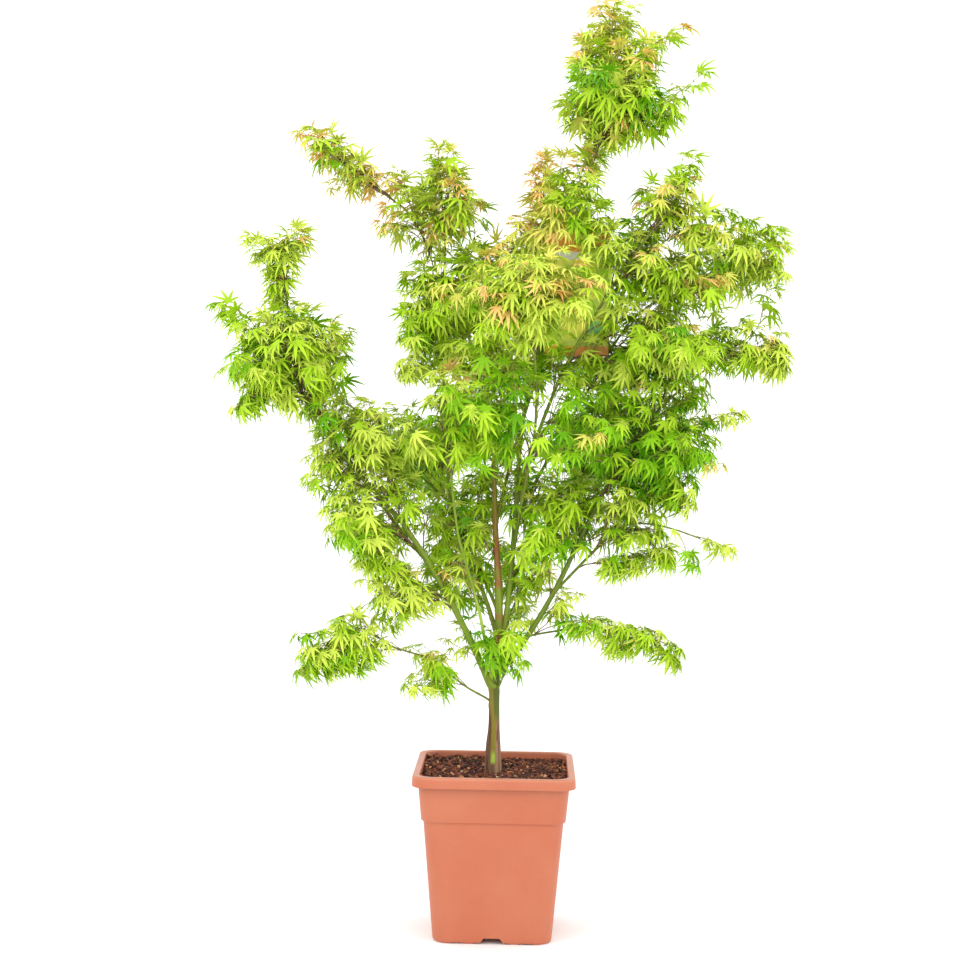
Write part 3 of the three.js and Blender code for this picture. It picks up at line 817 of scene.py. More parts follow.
def arc(start, end, bulge, steps=5):
    """Points of a quarter round from one (half, z) to another. With bulge it leaves along the half width."""
    points = []
    for step in range(steps + 1):
        angle = step / steps * math.pi / 2
        shares = (math.sin(angle), 1 - math.cos(angle))
        shares = shares if bulge else shares[::-1]
        points.append(tuple(a + (b - a) * share for a, b, share in zip(start, end, shares)))
    return points


def pot_profile(s):
    """The pot's wall as (half width, height, corner radius), from the floor's underside round to its top."""
    rim = s.rim_width / 2
    collar = s.collar_width / 2
    base = s.base_width / 2
    band_foot = s.height - s.rim_band
    collar_foot = band_foot - s.collar_drop
    step = s.collar_step
    wall_top = collar - 4.5 * MM - step
    lean = 0.6 * MM
    floor = s.floor_lift + 1.4 * s.wall
    thin = s.corner - s.wall
    outer = [
        (base - 3.5 * MM - s.wall, 0),
        *arc((base - 3.5 * MM, 0), (base, 7 * MM), 1),
        (wall_top, collar_foot - 5 * MM),
        *arc((wall_top, collar_foot - 4 * MM), (wall_top + 1.4 * MM, collar_foot - 1.6 * MM), 0, 3),
        *arc((wall_top + 1.4 * MM, collar_foot - 1.6 * MM), (wall_top + step, collar_foot + 1 * MM), 1, 3),
        (collar, band_foot),
        (collar, s.height - 3 * MM),
        (rim - s.wall - lean, s.height - 3 * MM),
        (rim - s.wall, band_foot + 0.4 * MM),
        *arc((rim - 1.2 * MM, band_foot), (rim, band_foot + 1.2 * MM), 1, 3),
        *arc((rim - lean, s.height - 3 * MM), (rim - 3 * MM, s.height), 0, 5),
        *arc((rim - s.rim_flange + 1.8 * MM, s.height), (rim - s.rim_flange, s.height - 1.8 * MM), 1, 4),
    ]
    inner = [
        (collar - s.wall, band_foot),
        (wall_top + step - s.wall, collar_foot),
        (wall_top - s.wall, collar_foot - 5 * MM),
        (base - s.wall, floor + 2 * MM),
        (base - s.wall - 2 * MM, floor),
    ]
    under = [
        (s.foot, 0),
        (s.foot + 4 * MM, s.floor_lift),
        (base - s.wall - 1 * MM, s.floor_lift),
    ]
    top = [(s.foot + 4 * MM, floor), (s.foot, 1.4 * s.wall)]
    wall = [(half, z, s.corner) for half, z in outer] + [(half, z, thin) for half, z in inner]
    return [(h, z, h) for h, z in under[:2]] + [(*under[2], thin)] + wall + [(h, z, h) for h, z in top]


def notch_cutters(s):
    """Prisms for the notches in the foot of each side."""
    outlines = [[*NOTCH, *((-x, z) for x, z in NOTCH[::-1])]]
    for middle in (VENT_PLACE, -VENT_PLACE):
        outlines.append([(middle + x, z) for x, z in VENT])
    front = -s.base_width / 2 - 5 * MM
    mesh = bpy.data.meshes.new("notches")
    with edited(mesh) as cutter:
        for side in range(4):
            turn = Matrix.Rotation(side * math.pi / 2, 4, "Z")
            for outline in outlines:
                ends = [
                    [turn @ Vector((x * MM, y, z * MM)) for x, z in outline]
                    for y in (front, front + NOTCH_DEPTH)
                ]
                add_tube(cutter, ends)
    return faced_outwards(mesh)


def plastic_finish(s):
    finish = Finish("terracotta_plastic", s.plastic, 0.42)
    spot = finish.place()
    patches = finish.cloud(spot, 9, 4).between(0.35, 0.72)
    specks = finish.cloud(finish.place((1, 1, 0.35)), 420, 2).between(0.62, 0.74)
    # Painted highlight: the top 5 mm of the rim are painted paler, where light falls from above; the patches
    # and specks are the plastic's own bloom.
    top = finish.parts(spot)[2].between(s.height - 5 * MM, s.height - 1 * MM)
    paler_patches_and_rim_highlight = patches * 0.22 + specks * 0.12 + top * 0.4
    finish.feed("Base Color", finish.mix(paler_patches_and_rim_highlight, s.plastic, s.bloom))
    finish.feed("Roughness", patches * 0.12 + 0.4)
    half = s.rim_width / 2
    drawn = finish.cloud(finish.place((1 / half, 1 / half, 0.1 / half)), 60, 3)
    finish.bump(drawn * 0.6 + finish.cloud(spot, 900, 2) * 0.4, 0.25, 0.15 * MM)
    return finish.material


class MAPLE_OT_pot(bpy.types.Operator):
    """Builds the square pot with its rim, collar and notched foot"""

    bl_idname = "maple.pot"
    bl_label = "Pot"

    def execute(self, context):
        s = context.scene.maple_pot
        rings = [square_ring(*level) for level in pot_profile(s)]
        pot = add_object("pot_body", mesh_of("pot_body", *stacked(rings)))
        cutter = add_object("notches", notch_cutters(s))
        cut = pot.modifiers.new("Notches", "BOOLEAN")
        cut.operation = "DIFFERENCE"
        cut.solver = "EXACT"
        cut.object = cutter
        applied(pot)
        bpy.data.meshes.remove(cutter.data)
        smooth(pot.data, 32)
        finished(pot, plastic_finish(s), "pot", "pot")
        return {"FINISHED"}


# ---- potting mix ----

CHIP_GIRTHS = ((-0.5, 0.35), (-0.2, 1.0), (0.25, 0.85), (0.5, 0.3))  # along a chip, a unit long
HEAP = 4.5 * MM  # how much higher the mix stands at the back left


def soil_height(x, y, s):
    """Height of the mix: nearly level, a little lower at the wall, swelling and sinking at random."""
    edge = max(abs(x), abs(y)) / SOIL_HIGH.x
    swell = noise.noise(Vector((x * 26, y * 26, 3.1))) + 0.5 * noise.noise(Vector((x * 75, y * 75, 8.7)))
    heap = HEAP * max(0.0, y - 0.5 * x) / SOIL_HIGH.y
    return SOIL_HIGH.z - 2 * MM - 3 * MM * edge**4 + heap + s.unevenness * swell * 0.8


def soil_bed(s, steps=30):
    """The mix itself: an uneven top, with a skirt down inside the wall."""
    half = SOIL_HIGH.x - 0.6 * MM
    corner = 22 * MM
    rings = []
    for level in range(steps):
        ring = half * (level + 1) / steps
        rings.append([(x, y, soil_height(x, y, s)) for x, y, _ in square_ring(ring, 0, min(corner, ring))])
    top = rings[-1]
    deep = SOIL_HIGH.z - 30 * MM
    rings.append([(0.97 * x, 0.97 * y, deep) for x, y, _ in top])
    return mesh_of("soil_bed", *stacked(rings[::-1]))


def chip_shapes(rng, count, long, wide, thick):
    """Splintered flakes with a handful of faces each, a unit long before they are sized."""
    meshes = []
    for index in range(count):
        points = []
        for x, girth in CHIP_GIRTHS:
            for k in range(4):
                angle = (k + 0.5) * math.pi / 2 + rng.uniform(-0.25, 0.25)
                reach = girth * rng.uniform(0.75, 1.2)
                points.append((x * long, wide * reach * math.cos(angle), thick * reach * math.sin(angle)))
        faces = tube_faces(4, 4) + [(3, 2, 1, 0), (12, 13, 14, 15)]
        meshes.append(faced_outwards(mesh_of(f"chip_{index}", points, faces)))
    return meshes


def soil_finish(s):
    finish = Finish("potting_mix", s.dark, 0.95)
    crumbs = finish.cloud(finish.place(), 260, 5, 0.7)
    finish.feed("Base Color", finish.mix(crumbs.between(0.38, 0.66), [c * 0.45 for c in s.dark], s.brown))
    finish.bump(crumbs, 0.9, 1.5 * MM)
    return finish.material


class MAPLE_OT_soil(bpy.types.Operator):
    """Builds the potting mix: its bed, the bark chips and the white specks on it"""

    bl_idname = "maple.soil"
    bl_label = "Potting mix"

    def execute(self, context):
        s = context.scene.maple_soil
        bed = add_object("soil_bed", soil_bed(s))
        smooth(bed.data, 60)
        finished(bed, soil_finish(s), "potting_mix", "soil")
        rng = random.Random(s.seed)
        kinds = (
            ("chips_dark", s.dark, 0.38, (1.0, 0.32, 0.2), 5.0),
            ("chips_brown", s.brown, 0.3, (1.0, 0.26, 0.16), 6.0),
            ("chips_tan", s.tan, 0.08, (0.8, 0.26, 0.12), 6.5),
            ("grit", s.grit, 0.014, (0.42, 0.2, 0.16), 6.5),
        )
        for index, (name, tint, part, shape, lift) in enumerate(kinds):
            piece = add_object(name, bed.data.copy())
            with edited(piece.data) as top:
                bmesh.ops.delete(top, geom=[f for f in top.faces if f.normal.z < 0.5], context="FACES")
            material = Finish(name, tint, 0.85).material
            with shapes_of(name, chip_shapes(rng, 5, *shape)) as shapes:
                scatter_grower().apply(
                    piece,
                    Shapes=shapes,
                    Crowding=s.crowding * part,
                    Smallest=0.35,
                    Largest=1.5,
                    Size=s.chip,
                    Lift=lift * MM * 0.5,
                    Seed=s.seed + index,
                    Material=material,
                )
            finished(piece, material, "potting_mix")
        return {"FINISHED"}


# ---- limbs: the trunk and boughs ----


def lengths_along(points):
    """How far along a line each of its points lies."""
    return np.concatenate(([0], np.cumsum(np.linalg.norm(np.diff(points, axis=0), axis=1))))


def ways_along(points):
    """Which way a line runs at each of its points."""
    ways = np.gradient(points, axis=0)
    return ways / np.linalg.norm(ways, axis=1)[:, None]


class Limb:
    """A limb's middle line from its foot to its tip, with its radius, at even stations."""

    def __init__(self, points, radii):
        self.points = points
        self.radii = radii
        self.along = lengths_along(points)
        self.length = self.along[-1]
        self.ways = ways_along(points)

    def nearest(self, point):
        return int(np.linalg.norm(self.points - point, axis=1).argmin())


def through(points, values, step):
    """A smooth line through points, with a value for each, at even steps."""
    points = np.asarray(points)
    padded = np.vstack((2 * points[0] - points[1], points, 2 * points[-1] - points[-2]))
    fine, worth = [], []
    for i in range(len(points) - 1):
        a, b, c, d = padded[i : i + 4]
        for t in np.linspace(0, 1, 12, endpoint=False):
            line = 2 * b + (c - a) * t + (2 * a - 5 * b + 4 * c - d) * t**2 + (3 * b - 3 * c + d - a) * t**3
            fine.append(line / 2)
            worth.append(values[i] + (values[i + 1] - values[i]) * t)
    fine.append(points[-1])
    worth.append(values[-1])
    fine = np.array(fine)
    along = lengths_along(fine)
    count = max(4, round(along[-1] / step))
    even = np.linspace(0, along[-1], count + 1)
    line = np.column_stack([np.interp(even, along, fine[:, k]) for k in range(3)])
    return line, np.interp(even, along, worth)


SLICE = 30 * MM  # from one slice through a limb's solid to the next
FIRST_SLICE = 0.02  # as a share of the limb's length
LAST_SLICE = 0.995
STOUTEST = 1.25  # how much thicker than an even taper the trunk's foot may be
SAME_GIRTH = 0.98  # the least girth of a limb's carrier, as a share of the limb's own
TRUNK_DEPTH = 8 * MM  # how deep the trunk's foot stands in the mix
PLACE_SHIFT = 3.7  # how far apart the bark places of two limbs lie, so that no two look alike
JOINED = 6 * MM  # a bough whose foot is nearer than this to the trunk's middle line has a collar there
FLARE = 45 * MM  # height over which the trunk's flare fades
STOUT = 3 * MM  # a bough thicker than this is rounder, and one thinner than SLIM has browner bark
SLIM = 2.2 * MM


def read_limb(name, foot):
    """The middle line and radius of a limb, read from its solid by slicing it across."""
    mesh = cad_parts[name].data
    points = np.array([vertex.co for vertex in mesh.vertices], dtype=float)
    ends = points[[edge.vertices[:] for edge in mesh.edges]]
    start = points[np.linalg.norm(points - foot, axis=1).argmin()]
    tip = points[np.linalg.norm(points - start, axis=1).argmax()]
    start = points[np.linalg.norm(points - tip, axis=1).argmax()]
    span = np.linalg.norm(tip - start)
    axis = (tip - start) / span
    heights = (ends - start) @ axis
    middles, rings = [], []
    for level in np.linspace(FIRST_SLICE, LAST_SLICE, max(6, round(span / SLICE))) * span:
        crossed = (heights[:, 0] - level) * (heights[:, 1] - level) < 0
        low, high = heights[crossed].T
        part = ((level - low) / (high - low))[:, None]
        ring = ends[crossed, 0] * (1 - part) + ends[crossed, 1] * part
        if len(ring):
            middles.append(ring.mean(axis=0))
            rings.append(ring)
    middles = np.array(middles)
    radii = []
    for middle, way, ring in zip(middles, ways_along(middles), rings):
        spokes = ring - middle
        spokes -= (spokes @ way)[:, None] * way
        radii.append(np.linalg.norm(spokes, axis=1).max())
    taper = np.polyfit(np.linspace(0, 1, len(radii)), radii, 1)
    steady = np.polyval(taper, np.linspace(0, 1, len(radii)))
    return middles, np.minimum(radii, STOUTEST * steady) if name == "trunk" else steady


@functools.cache
def all_limbs():
    """Every limb by name, each with its foot set in the limb that carries it."""
    foot = np.array((0, 0, SOIL_HIGH.z))
    raw = {name: read_limb(name, foot) for name in ["trunk", *BOUGHS]}
    fine = {name: through(middles, radii, 4 * MM) for name, (middles, radii) in raw.items()}
    limbs = {}
    for name, (middles, radii) in raw.items():
        start = np.array((*middles[0][:2], foot[2] - TRUNK_DEPTH))
        nearest = math.inf
        for other, (line, girth) in fine.items():
            if name in ("trunk", other):
                continue
            gaps = np.linalg.norm(line - middles[0], axis=1) - girth
            near = int(gaps.argmin())
            if girth[near] > radii[0] * SAME_GIRTH and gaps[near] < nearest:
                nearest = gaps[near]
                start = line[max(0, near - 2)]
        radii = np.concatenate(([radii[0]], radii))
        limbs[name] = Limb(*through(np.vstack((start, middles)), radii, 3 * MM))
    return limbs


def across(way):
    """Two directions square to each row of way, which turn as little as they can along it."""
    sides = np.empty_like(way)
    side = np.cross(way[0], (0.0, 1.0, 0.0))
    if np.linalg.norm(side) < 0.3:
        side = np.cross(way[0], (1.0, 0.0, 0.0))
    for i, w in enumerate(way):
        side = side - (side @ w) * w
        side /= np.linalg.norm(side)
        sides[i] = side
    return sides, np.cross(way, sides)


def bark_tube(limb, around, relief):
    """A tube round a limb with its bark places. Its surface rises by relief(angle, along, radius)."""
    sides, backs = across(limb.ways)
    rings, places = [], []
    for middle, radius, far, side, back in zip(limb.points, limb.radii, limb.along, sides, backs):
        ring = []
        for k in range(around):
            angle = 2 * math.pi * k / around
            out = math.cos(angle) * side + math.sin(angle) * back
            ring.append(middle + (radius + relief(angle, far, radius)) * out)
            places.append((radius * math.cos(angle), radius * math.sin(angle), far))
        rings.append(ring)
    points, faces = stacked(rings, (limb.points[0], limb.points[-1]))
    return points, faces, places + [(0, 0, limb.along[0]), (0, 0, limb.along[-1])]


def bark_mesh(name, tubes):
    """Tubes joined into one mesh, with their bark places and their ages kept as attributes."""
    points, faces, places, ages = [], [], [], []
    for number, (spots, sides, marks, age) in enumerate(tubes):
        faces += [tuple(len(points) + i for i in side) for side in sides]
        points += spots
        places += [(x, y, z + PLACE_SHIFT * number) for x, y, z in marks]
        ages += age
    mesh = mesh_of(name, points, faces)
    store(mesh, "FLOAT_VECTOR", bark_place=places)
    store(mesh, "FLOAT", age=ages)
    faced_outwards(mesh).shade_smooth()
    return mesh


def trunk_relief(s, limbs):
    """The trunk's relief: a flared and ridged foot, a collar under each bough and slow swellings along it.
    """
    trunk = limbs["trunk"]
    sides, backs = across(trunk.ways)
    collars = []
    for name, limb in limbs.items():
        if name == "trunk":
            continue
        near = trunk.nearest(limb.points[0])
        if np.linalg.norm(trunk.points[near] - limb.points[0]) > JOINED:
            continue
        out = limb.points[6] - limb.points[0]
        angle = math.atan2(out @ backs[near], out @ sides[near])
        collars.append((trunk.along[near] + 0.3 * limb.radii[0], angle, limb.radii[0]))

    def relief(angle, far, radius):
        height = far - TRUNK_DEPTH
        foot = math.exp(-max(0.0, height) / FLARE)
        spot = Vector((math.cos(angle) * 2.4, math.sin(angle) * 2.4, far * 22))
        fine = Vector((math.cos(angle) * 6.5, math.sin(angle) * 6.5, far * 75))
        ridges = noise.noise(spot) * (0.25 + foot) + noise.noise(fine) * (0.12 + 0.45 * foot)
        lobes = 0.1 * foot * radius * math.cos(3 * angle + 0.6)
        slow = noise.noise(Vector((math.cos(angle), math.sin(angle), far * 8)))
        bump = s.ridge * ridges + lobes + 0.06 * radius * slow
        for place, side, thick in collars:
            nearness = math.exp(-(((far - place) / (1.5 * thick + 2 * MM)) ** 2))
            facing = max(0.0, math.cos(angle - side)) ** 2
            bump += 0.5 * thick * nearness * facing
        return bump

    return relief


def bough_relief(s, limb, shift):
    """A bough's relief: a collar at its foot, swollen joints and slight lumps."""

    def relief(angle, far, radius):
        collar = 0.55 * radius * math.exp(-max(0.0, far - radius) / (1.6 * limb.radii[0]))
        phase = (far + shift * 17 * MM) % s.joint_spacing - s.joint_spacing / 2
        joint = s.swelling * math.exp(-((phase / (2.2 * MM)) ** 2)) * min(1.0, radius / (2.5 * MM))
        spot = Vector((math.cos(angle) * 1.7 + shift * 5, math.sin(angle) * 1.7, far * 24))
        lumps = noise.noise(spot) * 0.1 * radius
        end = 1 if far < limb.length - 2 * MM else 0.5
        return (collar + joint + lumps) * end

    return relief


def trunk_finish(s):
    finish = Finish("trunk_bark", s.olive, 0.62, 0.3)
    object_x, object_y, height = finish.parts(finish.place())
    streaks = finish.cloud(finish.along_bark((260, 260, 16)), 1, 4, 0.6)
    broad = finish.cloud(finish.along_bark((90, 90, 9)), 1, 3)
    blotch = finish.cloud(finish.along_bark((40, 40, 20)), 1, 3)
    low = SOIL_HIGH.z

    green = finish.mix(streaks.between(0.42, 0.66), s.olive, s.green)
    green = finish.mix((1 - object_x.between(-0.006, -0.001)) * 0.7, green, s.amber)
    edge = finish.mix(broad.between(0.46, 0.7), green, s.rust)

    # The foot: rough bark below, with cracks, darker on the left.
    front = (object_y * -1 + broad * 0.006).between(0.003, 0.007)
    aside = object_x + 0.003 + (streaks - 0.5) * 0.004
    middle = 1 - abs(aside).between(0.0022, 0.004)
    rough = finish.mix(streaks.between(0.36, 0.6), s.crevice, s.foot_bark)
    rough = finish.mix((1 - object_x.between(-0.006, 0.004)) * 0.65, rough, s.crevice)
    reach = height + (broad - 0.5) * 0.06
    above = (reach + object_x * 1.2).between(low + 0.07, low + 0.095)
    body = finish.mix(above, rough, edge)

    # The streak up the front: bright at its rounded lower end, yellow brown, then green.
    tint = finish.mix(height.between(low + 0.024, low + 0.036), s.stripe, s.amber)
    tint = finish.mix(height.between(low + 0.14, low + 0.17), tint, s.green)
    ends = height.band(low + 0.011, low + 0.018, low + 0.16, low + 0.2)
    body = finish.mix(front * middle * ends, body, tint)
    thread = 1 - abs(aside + 0.001).between(0.0003, 0.0009)
    run = height.band(low + 0.09, low + 0.1, low + 0.15, low + 0.19)
    body = finish.mix(front * thread * run * 0.8, body, s.amber)

    # Painted shade: the right side over the foot is darkened to a dark green, for the shadow on the side
    # away from the light.
    right = (object_x + (streaks - 0.5) * 0.003 + (height - 0.325) * 0.06).between(-0.003, -0.001)
    right = right * height.band(0.31, 0.335, 0.42, 0.48)
    body = finish.mix(right * 0.8, body, s.moss)

    # Rusty bands higher up, where old bark still clings.
    patch = blotch.between(0.36, 0.5)
    for foot, head in ((0.4, 0.455), (0.466, 0.484), (0.512, 0.6)):
        band = height.band(foot, foot + 0.01, head - 0.01, head) * patch
        body = finish.mix(band * 0.85, body, s.rust)
    finish.feed("Base Color", body)
    finish.feed("Roughness", 0.78 - above * 0.2)
    fine = finish.cloud(finish.along_bark((520, 520, 90)), 1, 3, 0.7)
    finish.bump(streaks * 0.7 + fine * 0.3, 0.5, 0.4 * MM)
    return finish.material


def bough_finish(s):
    finish = Finish("bough_bark", s.green, 0.5, 0.25)
    age = finish.node("ShaderNodeAttribute", attribute_name="age", output="Fac")
    streaks = finish.cloud(finish.along_bark((300, 300, 14)), 1, 4, 0.6)
    broad = finish.cloud(finish.along_bark((60, 60, 12)), 1, 3)
    lines = finish.cloud(finish.along_bark((30, 30, 520)), 1, 2)
    tint = finish.mix(streaks.between(0.4, 0.68), s.green, s.olive)
    tint = finish.mix((broad + age * 0.3).between(0.55, 0.85), tint, s.shade)
    tint = finish.mix(age.between(0.62, 0.95), tint, s.crevice)
    tint = finish.mix(lines.between(0.66, 0.72) * 0.4, tint, s.foot_bark)
    object_x, _, height = finish.parts(finish.place())
    # Painted shade: boughs on the right of the plant, below 0.6 to 0.75 m, turn dark green in patches, for
    # the shadow they stand in.
    right = object_x.between(0.01, 0.03) * (1 - height.between(0.6, 0.75))
    tint = finish.mix(right * (streaks * 0.5 + 0.2), tint, s.moss)
    tint = finish.mix(age.between(-0.6, -0.4), s.stripe, tint)
    finish.feed("Base Color", tint)
    finish.feed("Roughness", broad * 0.2 + 0.42)
    finish.bump(streaks * 0.5 + lines * 0.5, 0.35, 0.2 * MM)
    return finish.material


class MAPLE_OT_bark(bpy.types.Operator):
    """Builds the bark of the trunk and of the boughs, with its relief"""

    bl_idname = "maple.bark"
    bl_label = "Trunk and boughs"

    def execute(self, context):
        s = context.scene.maple_bark
        limbs = all_limbs()
        trunk = limbs["trunk"]
        fine_trunk = Limb(*through(trunk.points[::4], trunk.radii[::4], 1.5 * MM))
        points, faces, places = bark_tube(fine_trunk, 52, trunk_relief(s, limbs))
        ages = [0.0] * len(points)
        piece = add_object("trunk_bark", bark_mesh("trunk_bark", [(points, faces, places, ages)]))
        finished(piece, trunk_finish(s), "trunk_bark", "trunk")

        tubes = []
        for number, name in enumerate(BOUGHS):
            limb = limbs[name]
            around = 18 if limb.radii[0] > STOUT else 12
            points, faces, places = bark_tube(limb, around, bough_relief(s, limb, number))
            rows = len(limb.points)
            far = [row / (rows - 1) for row in range(rows) for _ in range(around)] + [0.0, 1.0]
            slim = 1 if limb.radii[0] < SLIM else 0
            ages = [f * 0.6 + 0.35 * slim for f in far]
            if name == "stem_front_left":
                ages = [1.3 * f - 1 for f in far]
            tubes.append((points, faces, places, ages))
        piece = add_object("bough_bark", bark_mesh("bough_bark", tubes))
        finished(piece, bough_finish(s), "bough_bark", *BOUGHS)
        return {"FINISHED"}


# ---- shoots, grown into each mass ----

LEADER_REACH = 0.07  # how far a limb's own last shoot runs on from its tip
LOWEST_SHOOT = 0.1  # height over the soil under which the trunk bears no shoot
SHELL_LEAN = 3.0  # 3 spreads the tips evenly through a mass, and more sends them to its outside
TIP_RISE = 0.006  # how far the tips stand over the middle of their leaves, which hang
SIDE_SPRAY_SPACING = 0.03
SIDE_SPRAYS_FROM = {  # the height from which a limb bears side shoots between the masses
    "trunk": 0.43,
    "bough_main": 0.43,
    "bough_centre_left": 0.43,
    "stem_front_left": 0.43,
    "bough_left_twin": 0.43,
    "bough_front": 0.5,
    "bough_left": 0.7,
    "bough_right": 0.75,
    "bough_right_arm": 0.82,
    "bough_right_upper": 0.86,
    "bough_upper_arm": 1.0,
    "bough_left_spire": 0.95,
    "bough_middle_spire": 0.98,
}
EARLY = 0.02  # share of the shoots anywhere whose leaves have only just opened
WISPS = 0.07  # share of a mass's shoots that run out past its outline
WISP_REACH = 0.022
WAVER = 0.0007  # how far a shoot strays from a smooth line at its joints
EDGE_ROOM = 0.02  # how far inside the plant's own outline the shoots end
APART = 0.78  # least distance of two tips, as a share of the cell
BACKWARD = 0.75  # how much a shoot dislikes to leave against the way its carrier runs
MOST_CARRIED = 5  # shoots in a chain from a limb to a tip
LONG_COST = 0.3  # what it costs to make a chain longer than that
TOO_NEAR = 0.6  # a carrier nearer than this share of the shortest shoot costs NEAR_COST more
NEAR_COST = 0.2
TRIES = 40  # places tried for each tip that is wanted
DROOP = 0.5  # how much the shoots of the front drape hang
JOINT_GAP = 11 * MM  # from one point of a shoot to the next
THICKEST_SHOOT = 2.2 * MM  # radius


@dataclass
class Shoot:
    """One shoot: its points from its carrier to its tip, and what it carries."""

    points: list
    carrier: int
    depth: int
    mass: str
    youth: float
    carried: int = 1


class Wood:
    """Every place that a shoot may leave from, with the way the wood runs there."""

    def __init__(self):
        self.places = np.empty((0, 3))
        self.ways = np.empty((0, 3))
        self.facts = np.empty((0, 3))  # number of the shoot or -1, depth of the chain, radius

    def add(self, points, number, depth, radius):
        points = np.asarray(points)
        self.places = np.vstack((self.places, points))
        self.ways = np.vstack((self.ways, ways_along(points)))
        facts = np.column_stack((np.full(len(points), number), np.full(len(points), depth), radius))
        self.facts = np.vstack((self.facts, facts))

    def carrier(self, target, shortest):
        """The place from which a shoot to target costs least wood and bends least."""
        to = target - self.places
        gap = np.linalg.norm(to, axis=1)
        facing = (to * self.ways).sum(axis=1) / np.maximum(gap, 1e-6)
        wood = np.maximum(gap, shortest)
        cost = wood + BACKWARD * wood * (1 - facing)
        cost += np.where(gap < TOO_NEAR * shortest, NEAR_COST, 0)
        cost += np.where(self.facts[:, 1] >= MOST_CARRIED, LONG_COST, 0)
        return int(cost.argmin())


def middle_of(name):
    return sum(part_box(name), Vector()) / 2


def mass_tree(name):
    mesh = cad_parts[name].data
    return BVHTree.FromPolygons([v.co.copy() for v in mesh.vertices], [p.vertices[:] for p in mesh.polygons])


def tip_places(name, s, rng):
    """Where the shoots of a mass end: spread through it, denser towards its outside, clear of each other."""
    tree = mass_tree(name)
    low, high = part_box(name)
    centre = middle_of(name)
    half = (high - low) / 2
    room = math.prod(max(h - s.inset * 0.6, 0.45 * h) for h in half) * 4 / 3 * math.pi
    cell = s.cell / CROWN[name.removeprefix("leaves_")][1] ** (1 / 3)
    wanted = max(4, round(room / cell**3))
    found = []
    for _ in range(wanted * TRIES):
        if len(found) == wanted:
            break
        way = shaken(rng, 1).normalized()
        hit = tree.ray_cast(centre + way, -way)[0]
        if hit is None:
            continue
        reach = (hit - centre).length
        depth = rng.random() ** (1 / SHELL_LEAN)
        if rng.random() < WISPS:
            way.z *= 0.5
            run = reach + WISP_REACH * rng.random()
        else:
            run = max(reach - s.inset, 0.4 * reach) * depth
        place = centre + way * run + UP * TIP_RISE
        if not within_reach(place) or in_gap(place, rng):
            continue
        if all((place - other).length > APART * cell for other, _ in found):
            found.append((place, depth))
    return found


def in_gap(place, rng):
    """True where the crown stays open, so that no shoot ends there."""
    if any(a < place.x < b and c < place.z < d for a, b, c, d in GAPS):
        return True
    for a, b, c, d, share in FRONT_GAPS:
        if place.y < FRONT and a < place.x < b and c < place.z < d:
            return rng.random() > share
    return False


def within_reach(place):
    """True where leaves at a shoot's tip stay inside the plant's own outline."""
    spare = Vector((EDGE_ROOM, EDGE_ROOM, EDGE_ROOM))
    return all(a < b < c for a, b, c in zip(CAD_LOW + spare, place, CAD_HIGH - spare))


def bowed(start, start_way, end, end_way, rng):
    """Points of a shoot that leaves one way, arrives another and wavers a little from joint to joint."""
    size = (end - start).length
    steps = max(4, round(size / JOINT_GAP))
    one = start + start_way * size * 0.38
    two = end - end_way * size * 0.34
    points = []
    for step in range(steps + 1):
        t = step / steps
        point = start * (1 - t) ** 3 + one * 3 * t * (1 - t) ** 2 + two * 3 * t**2 * (1 - t) + end * t**3
        if 0 < step < steps:
            point += shaken(rng, WAVER)
        points.append(point)
    return points


def nearest_mass(point):
    return min(MASSES, key=lambda m: (middle_of(m) - point).length)


def side_sprays(limbs, s):
    """Tips of the short side shoots that the boughs bear on their way to the masses."""
    rows = []
    for name, lowest in SIDE_SPRAYS_FROM.items():
        limb = limbs[name]
        rng = own_random(s.seed, "side", name)
        step = max(1, round(SIDE_SPRAY_SPACING / (limb.length / (len(limb.points) - 1))))
        for point, way in zip(limb.points[::step], limb.ways[::step]):
            if point[2] < lowest:
                continue
            base = Vector(point)
            aside = Vector([rng.gauss(0, 1), rng.gauss(0.5, 0.8), rng.gauss(0.1, 0.4)])
            aside = (aside - aside.dot(Vector(way)) * Vector(way)).normalized()
            tip = base + aside * rng.uniform(0.05, 0.1) + Vector(way) * rng.uniform(0.01, 0.05)
            if in_gap(tip, rng):
                continue
            mass = nearest_mass(tip)
            rows.append((0.04, mass, base, tip, youth_at(mass, tip, 0.5, rng)))
    return rows


def youth_at(mass, place, depth, rng):
    """How young a shoot's leaves are. Shoots on the outside of a mass are younger, above all high up. Deep
    inside a mass the leaves get deeper greens, partly for their age and partly as painted shade.
    """
    base = CROWN[mass.removeprefix("leaves_")][0]
    low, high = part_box(mass)
    rise = (place.z - low.z) / (high.z - low.z)
    airy = clamped((place.z - 1.0) / 0.25)
    # The further inside a mass a shoot ends, the deeper green its tone: partly older leaves, partly painted
    # shade.
    youth = base + rng.gauss(0, 0.6) + (2.2 + 2.2 * airy) * (depth - 0.78) + 0.8 * max(0.0, rise - 0.5)
    if base < 2.5:
        youth = min(youth, 3.3 + 1.8 * airy)
    return 4.3 if rng.random() < EARLY * (0.4 + airy) else youth


